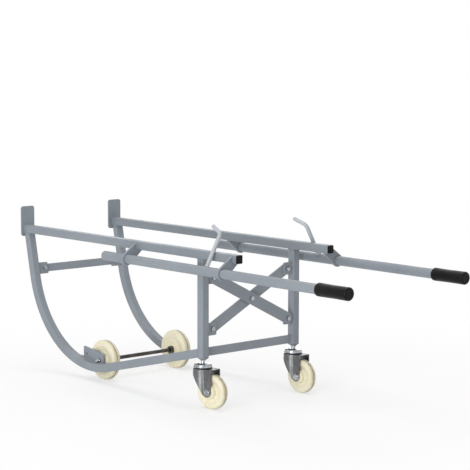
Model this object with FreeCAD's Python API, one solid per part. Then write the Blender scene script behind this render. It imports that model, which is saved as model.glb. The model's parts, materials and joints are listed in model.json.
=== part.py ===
import FreeCAD
import Part

import math
import os

# Drum trolley on two fixed rear wheels and two front casters, in millimetres.
# +X runs from the toe plates at the rear to the grips at the front, +Y to the right-hand
# side, +Z up. The origin is on the floor, half way along and half way across.

V = FreeCAD.Vector
ORIGIN = V(0, 0, 0)
X = V(1, 0, 0)
Y = V(0, 1, 0)
Z = V(0, 0, 1)

# Clearances shared by all pieces
running_gap = 0.08      # a shaft or tube in the hole that it turns or slides in, on the radius
bolt_gap = 0.1          # a fastener in its hole, on the radius
end_play = 0.3          # between the side faces of pieces that turn past each other
overrun = 40.0          # how far a cutter stands past what it cuts

# Square tube of the side frames
tube_size = 25.0
tube_wall = 2.0
tube_corner = 3.0

# Side frames
track_width = 356.0         # between the middle planes of the two side frames
rail_length = 1029.0
rail_height = 456.0         # top of the rails above the floor
bend_radius = 320.0         # centre line of the rocker's bend
rocker_lean = 12.0          # degrees, upper end of the rocker from the vertical
upright_inset = 155.0       # middle of the upright to the front end of the rail
foot_taper = 5.0
foot_width = 16.5
foot_stub = 30.0

# Rail end plugs
plug_flange = 2.0
plug_stub = 16.0
plug_wall = 2.0
plug_lip = 1.4              # how far the tube's edge shows round the flange

# Toe plates
toe_thickness = 5.0
toe_width = 50.0
toe_height = 96.0
toe_overhang = 10.0         # outboard of the rail
toe_drop = 11.0             # below the rail
toe_corner = 8.0

# Handles
handle_diameter = 28.0
handle_wall = 2.3
handle_offset = 47.0        # outboard of the rail's middle
handle_drop = 38.1          # below the rail's middle
handle_rear_station = 476.0
grip_reach = 481.0          # front end of the rail to the front end of the grips
grip_length = 115.0
grip_diameter = 36.5
grip_collar = 17.0          # plain collar at the grip's rear end
grip_groove_width = 1.6
grip_groove_depth = 0.8
grip_end_wall = 4.0
grip_nose_round = 7.0
grip_rear_round = 2.5
cap_flange = 2.5
cap_stub = 14.0
cap_round = 1.5

# Handle brackets
bracket_thickness = 8.0
bracket_rim = 4.5           # metal round the handle hole
bracket_front_inset = 14.0  # front end of the rail to the front plate
bracket_rear_station = 586.0

# Drum hooks
hook_diameter = 12.0
hook_inset = 91.0           # hook's plane to the front end of the rail
hook_reach = 118.0          # handle axis to the corner of the bend
hook_tip = 48.0             # corner of the bend to the tip
hook_turn = 66.0            # degrees
hook_bend = 18.0
hook_gap = 0.5              # between the hook and the rail that stops it
hook_end_round = 3.0

# Rear axle
rear_wheel_diameter = 123.0
rear_tread_width = 30.0
rear_hub_length = 33.6
rear_hub_diameter = 42.0
rear_bush_diameter = 24.0
rear_bush_length = 34.8
axle_diameter = 12.0
axle_lead = 9.0            # ahead of the middle of the rocker's bend
axle_nut_gap = 0.5          # between the axle's nuts and the top of the rocker
axle_stud_tail = 7.0        # thread that shows past the axle's nuts
axle_washer_diameter = 26.0
axle_washer_thickness = 1.5
axle_collar_diameter = 24.0
axle_collar_length = 10.0
axle_thread_depth = 22.0

# Axle plates, measured from the axle
axle_plate_thickness = 5.0
axle_plate_front = 21.0
axle_plate_rear = 81.0
axle_plate_front_rise = 22.5
axle_plate_rear_rise = 36.0
axle_plate_drop = 18.0
axle_plate_corner = 4.0
spare_hole_diameter = 7.0
spare_hole_back = 64.0
spare_hole_rise = 12.5

# Cross members
lug_length = 33.0
lug_height = 37.0
lug_thickness = 5.0
lug_corner = 4.0
lug_bolt_inset = 18.5       # side face of the upright to the bolt
rear_lug_length = 37.0
rear_lug_bolt_inset = 25.0  # side face of the rocker to the bolt
lug_lead = 4.0              # ahead of the middle of the upright
brace_width = 34.0
bar_thickness = 4.0
rear_bar_width = 25.0
bar_end_gap = 2.0
rear_bar_height = 316.0
brace_low_height = 225.5
brace_high_height = 375.0
front_bar_width = 25.0
front_bar_thickness = 5.0
front_bar_height = 160.3    # middle of the front cross bar
spacer_diameter = 18.0

# Hexagon bolts and nuts of the frame and of the axle ends
bolt_diameter = 8.0
bolt_flats = 13.0
bolt_head = 5.3
bolt_nut = 6.5
bolt_tail = 3.0             # thread that shows past the nut
bolt_chamfer = 1.2

# Casters
caster_wheel_diameter = 101.0
caster_tread_width = 25.0
caster_hub_length = 37.0
caster_hub_diameter = 36.0
caster_bush_diameter = 16.0
caster_bush_length = 38.4
caster_axle_diameter = 10.0
caster_flats = 16.0
caster_head = 6.5
caster_nut = 8.0
caster_trail = 36.3
caster_turn_left = 8.5      # degrees about +Z, where the casters rest
caster_turn_right = 2.0
crown_gap = 12.0            # wheel to the underside of the fork's crown
fork_sheet = 2.5
fork_crown_diameter = 61.0
fork_crown_round = 2.8      # outer edge of the crown
fork_waist_round = 8.0      # hollow between the crown and the straight sides
fork_back_drop = 6.0        # how far the crown's skirt comes down at the back
fork_edge_radius = 150.0    # hollow rear edge of the legs
fork_front = 9.7            # axle to the front edge of the legs
fork_end_radius = 15.0
cup_diameter = 55.0
cup_wall = 2.5
cup_height = 12.0
cup_top_diameter = 34.0
cup_clear = 2.4             # rim of the cup above the crown
ball_diameter = 5.0
ball_circle = 36.0
stem_diameter = 12.0
stem_show = 9.0             # stem between the cup and the leg
stem_head_diameter = 20.0
stem_head = 3.0

# Proportions of the nylon wheels
rim_share = 0.74            # inner edge of the rim's face, of the wheel's radius
web_share = 0.54            # outer edge of the sunk web, of the wheel's radius
web_width_share = 0.62      # thickness of the web, of the tread's width
hub_draft_share = 1.14      # foot of the hub, of the hub's radius
edge_share = 0.31           # rounded tread edge, of the tread's width
groove_width_share = 0.045  # groove round the middle of the tread, of its width
groove_depth_share = 0.03   # of the tread's width
foot_corner_share = 0.46    # corner radius of the foot, of its width

# Places worked out from the sizes above
half_track = track_width / 2
half_tube = tube_size / 2
rear_face = -(toe_thickness + rail_length + grip_reach) / 2
rail_rear = rear_face + toe_thickness
rail_front = rail_rear + rail_length
rail_under = rail_height - tube_size
rail_middle = rail_height - half_tube
frame_inside = half_track - half_tube
frame_outside = half_track + half_tube

crown_top = caster_wheel_diameter + crown_gap + fork_sheet
cup_top = crown_top + cup_clear + cup_height
leg_height = cup_top + stem_show
upright_x = rail_front - upright_inset
upright_foot = leg_height + foot_taper

axle_z = rear_wheel_diameter / 2
lean = math.radians(rocker_lean)
bend_z = axle_z - bolt_flats / 2 - axle_nut_gap - half_tube + bend_radius
bend_top_z = bend_z - bend_radius * math.sin(lean)
bend_x = (
    rail_rear
    + half_tube / math.cos(lean)
    + (rail_under - bend_top_z) * math.tan(lean)
    + bend_radius * math.cos(lean)
)
axle_x = bend_x + axle_lead

handle_radius = handle_diameter / 2
handle_y = half_track + handle_offset
handle_z = rail_middle - handle_drop
handle_rear = rail_rear + handle_rear_station
grip_front = rail_front + grip_reach
hook_x = rail_front - hook_inset

axle_plate_face = frame_inside - axle_plate_thickness
wheel_side = axle_plate_face - axle_washer_thickness - end_play
wheel_y = wheel_side - rear_bush_length / 2
collar_side = wheel_y - rear_bush_length / 2 - end_play

lug_bolt_y = frame_inside - lug_bolt_inset
rear_bolt_y = frame_inside - rear_lug_bolt_inset
lug_front = upright_x + lug_lead + lug_thickness / 2
lug_rear = lug_front - lug_thickness

fork_inside = caster_bush_length / 2 + end_play
fork_outside = fork_inside + fork_sheet
fork_front_x = caster_trail + fork_front
caster_axle_z = caster_wheel_diameter / 2


def tangent_rise():
    """Angle of the rocker's straight run, whose lower edge meets the foot of the upright."""
    outer_radius = bend_radius + half_tube
    run = upright_x - half_tube - bend_x
    fall = bend_z - upright_foot
    distance = math.hypot(run, fall)
    return math.atan2(run, fall) - math.acos(outer_radius / distance)


rocker_rise = tangent_rise()


def line(start, end):
    """Straight edge between two points."""
    return Part.LineSegment(start, end).toShape()


def arc(start, middle, end):
    """Round edge through three points."""
    return Part.Arc(start, middle, end).toShape()


def polygon(points):
    """Face inside a closed run of straight edges."""
    return Part.Face(Part.makePolygon(list(points) + [points[0]]))


def rounded_wire(centre, across, up, width, height, radius):
    """Closed rectangle with round corners, in the plane of two unit vectors."""
    reach_across = width / 2 - radius
    reach_up = height / 2 - radius
    corners = []
    for quarter, (side, rise) in enumerate(((1, 1), (-1, 1), (-1, -1), (1, -1))):
        middle = centre + across * (side * reach_across) + up * (rise * reach_up)
        turn = [math.radians(90 * quarter + step) for step in (0, 45, 90)]
        corners.append([middle + across * (radius * math.cos(a)) + up * (radius * math.sin(a)) for a in turn])
    edges = []
    for number, corner in enumerate(corners):
        following = corners[(number + 1) % len(corners)]
        edges.append(arc(*corner))
        edges.append(line(corner[2], following[0]))
    return Part.Wire(edges)


def square_wire(centre, across, up, size):
    """Closed square with sharp corners, in the plane of two unit vectors."""
    half = size / 2
    signs = ((1, 1), (-1, 1), (-1, -1), (1, -1), (1, 1))
    return Part.makePolygon([centre + across * (half * a) + up * (half * b) for a, b in signs])


def square_tube(start, end, across, up):
    """Straight square tube with round outer corners, open at both ends."""
    outer = Part.Face(rounded_wire(start, across, up, tube_size, tube_size, tube_corner))
    inner = Part.Face(square_wire(start, across, up, tube_size - 2 * tube_wall))
    return outer.extrude(end - start).cut(inner.extrude(end - start))


def plate(centre, across, up, width, height, corner, thickness):
    """Flat plate with round corners, its thickness along across x up."""
    face = Part.Face(rounded_wire(centre, across, up, width, height, corner))
    return face.extrude(across.cross(up) * thickness)


def rod(start, direction, diameter, length):
    """Round bar from a point along a unit vector."""
    return Part.makeCylinder(diameter / 2, length, start, direction)


def ring(start, direction, outer, inner, length):
    """Round bar with a hole through it."""
    hole = rod(start - direction * overrun, direction, inner, length + 2 * overrun)
    return rod(start, direction, outer, length).cut(hole)


def hexagon(start, direction, across, flats, length):
    """Hexagon prism with one pair of flats square to the vector across."""
    other = direction.cross(across)
    corner = flats / math.sqrt(3)
    turns = [math.radians(60 * side + 30) for side in range(6)]
    points = [start + across * (corner * math.cos(a)) + other * (corner * math.sin(a)) for a in turns]
    return polygon(points).extrude(direction * length)


def domed_hexagon(start, direction, across, flats, length, chamfer):
    """Hexagon prism whose far end has its corners turned down to a cone."""
    reach = flats / math.sqrt(3)
    cone = Part.makeCone(reach, reach - length, length, start + direction * (length - chamfer), direction)
    barrel = rod(start, direction, 2 * reach, length - chamfer)
    return hexagon(start, direction, across, flats, length).common(barrel.fuse(cone))


def turned(points, axis):
    """Solid of revolution about an axis through the origin."""
    return polygon(points).revolve(ORIGIN, axis, 360)


def mirrored(solid):
    """The same piece on the other side of the trolley."""
    return solid.mirror(ORIGIN, Y)


def round_off(solid, radius, wanted):
    """Round the edges that a test picks."""
    return solid.makeFillet(radius, [edge for edge in solid.Edges if wanted(edge)])


def export(name, *solids):
    """Write one node, which may be a group of separate solids."""
    shape = solids[0] if len(solids) == 1 else Part.makeCompound(list(solids))
    shape.exportStep("parts/" + name + ".step")


def export_pair(name, left_solids):
    """Write a left-hand node and its mirror image."""
    export(name + "_left", *left_solids)
    export(name + "_right", *[mirrored(solid) for solid in left_solids])


# Side frames. Pieces are made for the left-hand side and mirrored.
def rail():
    """Top rail, along X."""
    return square_tube(V(rail_rear, -half_track, rail_middle), V(rail_front, -half_track, rail_middle), Y, Z)


def rail_plug():
    """Hollow plug with a square flange over the rail's front end."""
    bore = tube_size - 2 * tube_wall - 2 * bolt_gap
    mouth = V(rail_front, -half_track, rail_middle)
    flange = plate(mouth, Y, Z, tube_size - 2 * plug_lip, tube_size - 2 * plug_lip, tube_corner, plug_flange)
    stub = Part.Face(square_wire(mouth, Y, Z, bore)).extrude(X * -plug_stub)
    hollow = Part.Face(square_wire(mouth, Y, Z, bore - 2 * plug_wall)).extrude(X * -(plug_stub + overrun))
    return flange.fuse(stub.cut(hollow)).removeSplitter()


def rocker_bar(outside):
    """Outer or inner form of the bent rocker tube, before its ends are trimmed."""
    rise = rocker_rise
    bend = V(bend_x, -half_track, bend_z)
    top = bend - V(math.cos(lean), 0, math.sin(lean)) * bend_radius
    low = bend + V(math.sin(rise), 0, -math.cos(rise)) * bend_radius
    upward = V(-math.sin(lean), 0, math.cos(lean))
    forward = V(math.cos(rise), 0, math.sin(rise))

    def section(middle, up):
        if outside:
            return Part.Face(rounded_wire(middle, Y, up, tube_size, tube_size, tube_corner))
        return Part.Face(square_wire(middle, Y, up, tube_size - 2 * tube_wall))

    upper_length = (rail_under - top.z) / math.cos(lean) + tube_size
    lower_length = (upright_x - low.x) / math.cos(rise)
    upper = section(top, Y.cross(upward)).extrude(upward * upper_length)
    curve = section(top, Y.cross(upward)).revolve(bend, Y * -1, 90 + math.degrees(rise - lean))
    lower = section(low, Y.cross(forward)).extrude(forward * lower_length)
    return upper.fuse([curve, lower]).removeSplitter()


def rocker():
    """Bent tube, cut off square under the rail and against the upright."""
    depth = tube_size + 2 * overrun
    span = rail_length
    above = Part.makeBox(span, depth, span, V(rail_rear - overrun, -half_track - depth / 2, rail_under))
    ahead = Part.makeBox(span, depth, span, V(upright_x - half_tube, -half_track - depth / 2, 0))
    return rocker_bar(True).cut(rocker_bar(False)).cut(above).cut(ahead)


def upright():
    """Leg under the rail."""
    return square_tube(V(upright_x, -half_track, upright_foot), V(upright_x, -half_track, rail_under), X, Y)


def leg_foot():
    """Insert that closes the leg, tapers to the stem and holds it."""
    bore = tube_size - 2 * tube_wall - 2 * bolt_gap
    top = V(upright_x, -half_track, upright_foot)
    bottom = V(upright_x, -half_track, leg_height)
    wide = rounded_wire(top, X, Y, tube_size, tube_size, tube_corner)
    narrow = rounded_wire(bottom, X, Y, foot_width, foot_width, foot_width * foot_corner_share)
    taper = Part.makeLoft([wide, narrow], True, True)
    stub = Part.Face(square_wire(top, X, Y, bore)).extrude(Z * foot_stub)
    hole = rod(bottom - Z * overrun, Z, stem_diameter + 2 * bolt_gap, foot_taper + foot_stub + 2 * overrun)
    return taper.fuse(stub).cut(hole)


def toe_plate():
    """Plate across the rail's rear end that the load stands on when the trolley is upright."""
    middle_y = -(frame_outside + toe_overhang - toe_width / 2)
    middle_z = rail_under - toe_drop + toe_height / 2
    return plate(V(rear_face, middle_y, middle_z), Y, Z, toe_width, toe_height, toe_corner, toe_thickness)


def touch_point(point, centre, radius, rank):
    """Where a line from a point touches a circle in the YZ plane, of two places the one ranked first."""
    away = point - centre
    base = math.atan2(away.z, away.y)
    spread = math.acos(radius / away.Length)
    places = [centre + V(0, math.cos(a), math.sin(a)) * radius for a in (base - spread, base + spread)]
    return min(places, key=rank)


def handle_bracket(front_face):
    """Plate that wraps the rail's lower outer corner and reaches out round the handle tube."""
    back = front_face - bracket_thickness
    radius = handle_radius + bracket_rim
    hub = V(back, -handle_y, handle_z)
    corner = V(back, -frame_outside, rail_under)
    over = V(back, -frame_outside, rail_height - tube_corner)
    under = V(back, -frame_inside - tube_corner, rail_under)
    outer = touch_point(over, hub, radius, lambda place: place.y)
    lower = touch_point(under, hub, radius, lambda place: place.z)
    end = hub + (hub - corner).normalize() * radius
    edges = [line(over, outer), arc(outer, end, lower), line(lower, under), line(under, corner), line(corner, over)]
    hole = rod(hub - X * overrun, X, handle_diameter + 2 * running_gap, bracket_thickness + 2 * overrun)
    return Part.Face(Part.Wire(edges)).extrude(X * bracket_thickness).cut(hole)


def axle_plate():
    """Plate on the inner side of the rocker, with the axle's bolt hole and a spare hole."""
    face_y = -frame_inside
    front = axle_x + axle_plate_front
    rear = axle_x - axle_plate_rear
    low = axle_z - axle_plate_drop
    points = [
        V(rear, face_y, low),
        V(front, face_y, low),
        V(front, face_y, axle_z + axle_plate_front_rise),
        V(rear, face_y, axle_z + axle_plate_rear_rise),
    ]
    solid = polygon(points).extrude(Y * axle_plate_thickness)
    solid = round_off(solid, axle_plate_corner, lambda edge: abs(edge.tangentAt(edge.FirstParameter).y) > 0.9)
    through = axle_plate_thickness + 2 * overrun
    places = ((axle_x, axle_z, bolt_diameter + 2 * bolt_gap),
              (axle_x - spare_hole_back, axle_z + spare_hole_rise, spare_hole_diameter))
    for place_x, place_z, diameter in places:
        solid = solid.cut(rod(V(place_x, face_y - overrun, place_z), Y, diameter, through))
    return solid


def lug(root, up, length, bolt_inset):
    """Small plate on a tube's inner side, with one bolt hole, its thickness along Y x up."""
    solid = plate(root + Y * (length / 2), Y, up, length, lug_height, lug_corner, lug_thickness)
    normal = Y.cross(up)
    start = root + Y * bolt_inset - normal * overrun
    return solid.cut(rod(start, normal, bolt_diameter + 2 * bolt_gap, lug_thickness + 2 * overrun))


def brace_lugs():
    """Two lugs on the upright."""
    heights = (brace_low_height, brace_high_height)
    return [lug(V(lug_rear, -frame_inside, height), Z, lug_length, lug_bolt_inset) for height in heights]


# The rear cross bar lies square to the rocker's leaning upper end
rocker_up = V(-math.sin(lean), 0, math.cos(lean))
rocker_front = V(math.cos(lean), 0, math.sin(lean))
rear_bar_x = bend_x - bend_radius * math.cos(lean) - (rear_bar_height - bend_top_z) * math.tan(lean)


def cross_bar_lug():
    """Lug on the rocker."""
    return lug(V(rear_bar_x, -frame_inside, rear_bar_height), rocker_up, rear_lug_length, rear_lug_bolt_inset)


# Cross members
def square_ended_bar(start, end, normal, width):
    """Flat bar between two points on its middle line, with its thickness along the normal."""
    across = normal.cross((end - start).normalize()) * (width / 2)
    return polygon([start + across, start - across, end - across, end + across]).extrude(normal * bar_thickness)


def round_ended_bar(start, end, normal, width):
    """The same with round ends about the two points."""
    along = (end - start).normalize()
    across = normal.cross(along)
    half = width / 2
    edges = [
        line(start + across * half, end + across * half),
        arc(end + across * half, end + along * half, end - across * half),
        line(end - across * half, start - across * half),
        arc(start - across * half, start - along * half, start + across * half),
    ]
    return Part.Face(Part.Wire(edges)).extrude(normal * bar_thickness)


def drilled(solid, places, normal):
    """Bolt holes through a bar or plate."""
    for place in places:
        start = place - normal * overrun
        solid = solid.cut(rod(start, normal, bolt_diameter + 2 * bolt_gap, bar_thickness + 2 * overrun))
    return solid


def brace_bar(left_height, right_height, back):
    """One of the two bars that cross between the uprights."""
    left = V(back, -lug_bolt_y, left_height)
    right = V(back, lug_bolt_y, right_height)
    return drilled(round_ended_bar(left, right, X, brace_width), [left, (left + right) / 2, right], X)


def rear_cross_bar():
    """Flat bar behind the rocker lugs."""
    middle = V(rear_bar_x, 0, rear_bar_height) - rocker_front * bar_thickness
    reach = frame_inside - bar_end_gap
    bar = square_ended_bar(middle - Y * reach, middle + Y * reach, rocker_front, rear_bar_width)
    return drilled(bar, [middle - Y * rear_bolt_y, middle + Y * rear_bolt_y], rocker_front)


def front_cross_bar():
    """Flat bar low between the uprights, its ends against their inner faces."""
    corner = V(upright_x - front_bar_thickness / 2, -frame_inside, front_bar_height - front_bar_width / 2)
    return Part.makeBox(front_bar_thickness, 2 * frame_inside, front_bar_width, corner)


def bolt_and_nut(seat, normal, grip):
    """Hexagon bolt with its head on a seat, and its nut on the far side of what it clamps."""
    across = Z if abs(normal.z) < abs(normal.x) else X
    across = (across - normal * across.dot(normal)).normalize()
    head = domed_hexagon(seat, normal, across, bolt_flats, bolt_head, bolt_chamfer)
    shank = rod(seat - normal * (grip + bolt_nut + bolt_tail), normal, bolt_diameter, grip + bolt_nut + bolt_tail)
    blank = domed_hexagon(seat - normal * grip, normal * -1, across, bolt_flats, bolt_nut, bolt_chamfer)
    hole = rod(seat - normal * (grip + bolt_nut + overrun), normal, bolt_diameter + 2 * bolt_gap, grip + 2 * overrun)
    return head.fuse(shank), blank.cut(hole)


def frame_fasteners():
    """Bolts and nuts of the brace and of the rear cross bar, as two lists."""
    clamp = lug_thickness + bar_thickness
    middle_height = (brace_low_height + brace_high_height) / 2
    pairs = [bolt_and_nut(V(lug_front + bar_thickness, 0, middle_height), X, clamp + bar_thickness)]
    for side, front_bar_end, rear_bar_end in ((-1, brace_high_height, brace_low_height),
                                              (1, brace_low_height, brace_high_height)):
        pairs.append(bolt_and_nut(V(lug_front + bar_thickness, side * lug_bolt_y, front_bar_end), X, clamp))
        pairs.append(bolt_and_nut(V(lug_front, side * lug_bolt_y, rear_bar_end), X, clamp))
        seat = V(rear_bar_x, side * rear_bolt_y, rear_bar_height) + rocker_front * lug_thickness
        pairs.append(bolt_and_nut(seat, rocker_front, clamp))
    return [bolt for bolt, nut in pairs], [nut for bolt, nut in pairs]


def brace_spacer():
    """Ring between the two bars where they cross."""
    middle_height = (brace_low_height + brace_high_height) / 2
    hole = bolt_diameter + 2 * bolt_gap
    return ring(V(lug_rear, 0, middle_height), X, spacer_diameter, hole, lug_thickness)


# Wheels
def nylon_wheel(diameter, tread, hub_length, hub_diameter, bore):
    """Wheel about the Y axis at the origin: tread with a middle groove, sunk web, drafted hub."""
    radius = diameter / 2
    half_tread = tread / 2
    web = half_tread * web_width_share
    groove_half = tread * groove_width_share / 2
    groove_floor = radius - tread * groove_depth_share
    hub = hub_diameter / 2
    half_profile = [
        (bore / 2, hub_length / 2),
        (hub, hub_length / 2),
        (hub * hub_draft_share, web),
        (radius * web_share, web),
        (radius * rim_share, half_tread),
        (radius, half_tread),
        (radius, groove_half),
        (groove_floor, groove_half),
    ]
    points = [V(r, y, 0) for r, y in half_profile]
    points += [V(r, -y, 0) for r, y in reversed(half_profile)]
    wheel = turned(points, Y)

    def tread_edge(edge):
        box = edge.BoundBox
        at_side = abs(abs(box.Center.y) - half_tread) < running_gap and box.YLength < running_gap
        return at_side and abs(box.XLength - diameter) < running_gap

    return round_off(wheel, tread * edge_share, tread_edge)


def rear_wheel():
    """Nylon wheel on the left end of the axle."""
    wheel = nylon_wheel(rear_wheel_diameter, rear_tread_width, rear_hub_length, rear_hub_diameter,
                        rear_bush_diameter + 2 * bolt_gap)
    return wheel.translated(V(axle_x, -wheel_y, axle_z))


def rear_bush():
    """Steel bush in the wheel's hub, running on the axle."""
    start = V(axle_x, -wheel_y - rear_bush_length / 2, axle_z)
    return ring(start, Y, rear_bush_diameter, axle_diameter + 2 * running_gap, rear_bush_length)


def rear_axle():
    """Rod between the axle plates, with a tapped hole in each end."""
    start = V(axle_x, -axle_plate_face, axle_z)
    axle = rod(start, Y, axle_diameter, 2 * axle_plate_face)
    for side in (-1, 1):
        mouth = V(axle_x, side * (axle_plate_face + overrun), axle_z)
        axle = axle.cut(rod(mouth, Y * -side, bolt_diameter + 2 * bolt_gap, axle_thread_depth + overrun))
    return axle


def axle_stud():
    """Stud through the axle plate into the left end of the axle, with its nut."""
    seat = V(axle_x, -frame_inside, axle_z)
    reach = axle_plate_thickness + axle_thread_depth - bolt_tail
    shown = bolt_nut + axle_stud_tail
    nut = domed_hexagon(seat, Y * -1, Z, bolt_flats, bolt_nut, bolt_chamfer)
    return nut.fuse(rod(seat - Y * shown, Y, bolt_diameter, shown + reach))


def axle_washer():
    """Washer between the axle plate and the bush."""
    hole = axle_diameter + 2 * bolt_gap
    return ring(V(axle_x, -axle_plate_face, axle_z), Y, axle_washer_diameter, hole, axle_washer_thickness)


def axle_collar():
    """Collar that keeps the wheel at the end of the axle."""
    hole = axle_diameter + 2 * bolt_gap
    return ring(V(axle_x, -collar_side, axle_z), Y, axle_collar_diameter, hole, axle_collar_length)


# Casters, made about the swivel axis with the wheel trailing along +X, then turned and placed
def caster_stem():
    """Stem that the fork turns on, with a riveted lower head."""
    crown_under = crown_top - fork_sheet
    stem = rod(V(0, 0, crown_under - end_play), Z, stem_diameter, upright_foot + foot_stub - crown_under + end_play)
    head = rod(V(0, 0, crown_under - end_play - stem_head), Z, stem_head_diameter, stem_head)
    return stem.fuse(head).removeSplitter()


def swivel_cup():
    """Pressed dish over the balls, fixed to the stem."""
    rim = crown_top + cup_clear
    outer = cup_diameter / 2
    top = cup_top_diameter / 2
    shoulder = rim + cup_height / 2
    hole = stem_diameter / 2 + bolt_gap
    points = [
        V(hole, 0, cup_top),
        V(top, 0, cup_top),
        V(outer, 0, shoulder),
        V(outer, 0, rim),
        V(outer - cup_wall, 0, rim),
        V(outer - cup_wall, 0, shoulder - cup_wall / 2),
        V(top, 0, cup_top - cup_wall),
        V(hole, 0, cup_top - cup_wall),
    ]
    return turned(points, Z)


def ball_ring():
    """Ring of bearing balls on the crown, drawn as one ring."""
    middle = crown_top + ball_diameter / 2
    return Part.makeTorus(ball_circle / 2, ball_diameter / 2, V(0, 0, middle), Z)


def fork_plan(inset, front):
    """Outline of the fork seen from above: round crown, hollow waist and straight sides."""
    crown = fork_crown_diameter / 2 - inset
    half = fork_outside - inset
    waist = fork_waist_round + inset
    hollow = V(math.sqrt((crown + waist) ** 2 - (half + waist) ** 2), half + waist, 0)
    side = hollow - Y * waist
    meet = hollow * (crown / (crown + waist))
    bend = hollow + (meet + side - hollow * 2).normalize() * waist

    def across(point):
        return V(point.x, -point.y, 0)

    edges = [
        line(V(front, -half, 0), V(front, half, 0)),
        line(V(front, half, 0), side),
        arc(side, bend, meet),
        arc(meet, V(-crown, 0, 0), across(meet)),
        arc(across(meet), across(bend), across(side)),
        line(across(side), V(front, -half, 0)),
    ]
    return Part.Face(Part.Wire(edges))


def fork_side():
    """Side view of the fork: straight front edge, round end at the axle, hollow rear edge up to the crown."""
    crown = fork_crown_diameter / 2
    front = V(fork_front_x, 0, caster_axle_z)
    end = front - X * fork_end_radius
    back_low = V(-crown - fork_sheet, 0, crown_top - fork_back_drop)
    apart = (end - back_low).Length
    way = (end - back_low).normalize()
    reach = fork_edge_radius + fork_end_radius
    along = (fork_edge_radius ** 2 - reach ** 2 + apart ** 2) / (2 * apart)
    off = math.sqrt(fork_edge_radius ** 2 - along ** 2)
    centre = back_low + way * along + V(way.z, 0, -way.x) * off
    touch = end + (centre - end).normalize() * fork_end_radius
    bow = centre + (touch + back_low - centre * 2).normalize() * fork_edge_radius
    high = crown_top + overrun
    behind = back_low - X * overrun
    edges = [
        line(V(behind.x, 0, high), V(front.x, 0, high)),
        line(V(front.x, 0, high), front),
        arc(front, end - Z * fork_end_radius, touch),
        arc(touch, bow, back_low),
        line(back_low, behind),
        line(behind, V(behind.x, 0, high)),
    ]
    width = 2 * overrun + fork_crown_diameter
    return Part.Face(Part.Wire(edges)).extrude(Y * width).translated(Y * (-width / 2))


def caster_fork():
    """Pressed fork: round crown, hollow waist and two legs."""
    outer = fork_plan(0, fork_front_x).extrude(Z * crown_top)

    def crown_edge(edge):
        box = edge.BoundBox
        return box.ZMin > crown_top - running_gap and box.XMin < fork_front_x - running_gap

    outer = round_off(outer, fork_crown_round, crown_edge)
    inner = fork_plan(fork_sheet, fork_front_x + overrun).extrude(Z * (crown_top - fork_sheet))
    fork = outer.cut(inner).common(fork_side())
    fork = fork.cut(rod(V(0, 0, crown_top - overrun), Z, stem_diameter + 2 * running_gap, 2 * overrun))
    across = V(caster_trail, -fork_outside - overrun, caster_axle_z)
    return fork.cut(rod(across, Y, caster_axle_diameter + 2 * bolt_gap, 2 * (fork_outside + overrun)))


def caster_wheel():
    """Nylon wheel of a caster."""
    wheel = nylon_wheel(caster_wheel_diameter, caster_tread_width, caster_hub_length, caster_hub_diameter,
                        caster_bush_diameter + 2 * bolt_gap)
    return wheel.translated(V(caster_trail, 0, caster_axle_z))


def caster_bush():
    """Steel bush in the caster wheel, running on its bolt."""
    start = V(caster_trail, -caster_bush_length / 2, caster_axle_z)
    return ring(start, Y, caster_bush_diameter, caster_axle_diameter + 2 * running_gap, caster_bush_length)


def caster_axle():
    """Bolt through the fork, and its nut."""
    seat = V(caster_trail, -fork_outside, caster_axle_z)
    reach = 2 * fork_outside + caster_nut + bolt_tail
    head = domed_hexagon(seat, Y * -1, Z, caster_flats, caster_head, bolt_chamfer)
    bolt = head.fuse(rod(seat, Y, caster_axle_diameter, reach))
    far = V(caster_trail, fork_outside, caster_axle_z)
    blank = domed_hexagon(far, Y, Z, caster_flats, caster_nut, bolt_chamfer)
    return [bolt, blank.cut(rod(far, Y, caster_axle_diameter + 2 * bolt_gap, caster_nut + overrun))]


def export_casters():
    """Write both casters, each turned to its place under a leg."""
    pieces = {
        "caster_stem": [caster_stem()],
        "caster_cup": [swivel_cup()],
        "caster_ball_ring": [ball_ring()],
        "caster_fork": [caster_fork()],
        "caster_wheel": [caster_wheel()],
        "caster_bush": [caster_bush()],
        "caster_axle_bolt": caster_axle(),
    }
    places = (("left", -half_track, caster_turn_left), ("right", half_track, caster_turn_right))
    for side, place_y, turn in places:
        for name, solids in pieces.items():
            turned_solids = [solid.rotated(ORIGIN, Z, turn) for solid in solids]
            export(name + "_" + side, *[solid.translated(V(upright_x, place_y, 0)) for solid in turned_solids])


# Handles
def handle_tube():
    """Round tube through both brackets, open at its rear end."""
    start = V(handle_rear, -handle_y, handle_z)
    return ring(start, X, handle_diameter, handle_diameter - 2 * handle_wall, grip_front - grip_end_wall - handle_rear)


def handle_cap():
    """Round cap in the tube's rear end."""
    mouth = V(handle_rear - end_play, -handle_y, handle_z)
    bore = handle_diameter - 2 * handle_wall
    flange = rod(mouth, X * -1, handle_diameter, cap_flange)
    outer_face = mouth.x - cap_flange
    flange = round_off(flange, cap_round, lambda edge: abs(edge.BoundBox.XMax - outer_face) < running_gap)
    return flange.fuse(rod(mouth, X, bore - 2 * running_gap, cap_stub)).removeSplitter()


def handle_grip():
    """Rubber sleeve over the tube's front end, closed and rounded at the nose."""
    rear = grip_front - grip_length
    start = V(rear, -handle_y, handle_z)
    grip = rod(start, X, grip_diameter, grip_length)
    grip = round_off(grip, grip_nose_round, lambda edge: abs(edge.BoundBox.XMin - grip_front) < running_gap)
    grip = round_off(grip, grip_rear_round, lambda edge: abs(edge.BoundBox.XMax - rear) < running_gap)
    groove = ring(start + X * grip_collar, X, grip_diameter + overrun, grip_diameter - 2 * grip_groove_depth,
                  grip_groove_width)
    return grip.cut(groove).cut(rod(start - X * overrun, X, handle_diameter, grip_length - grip_end_wall + overrun))


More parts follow.
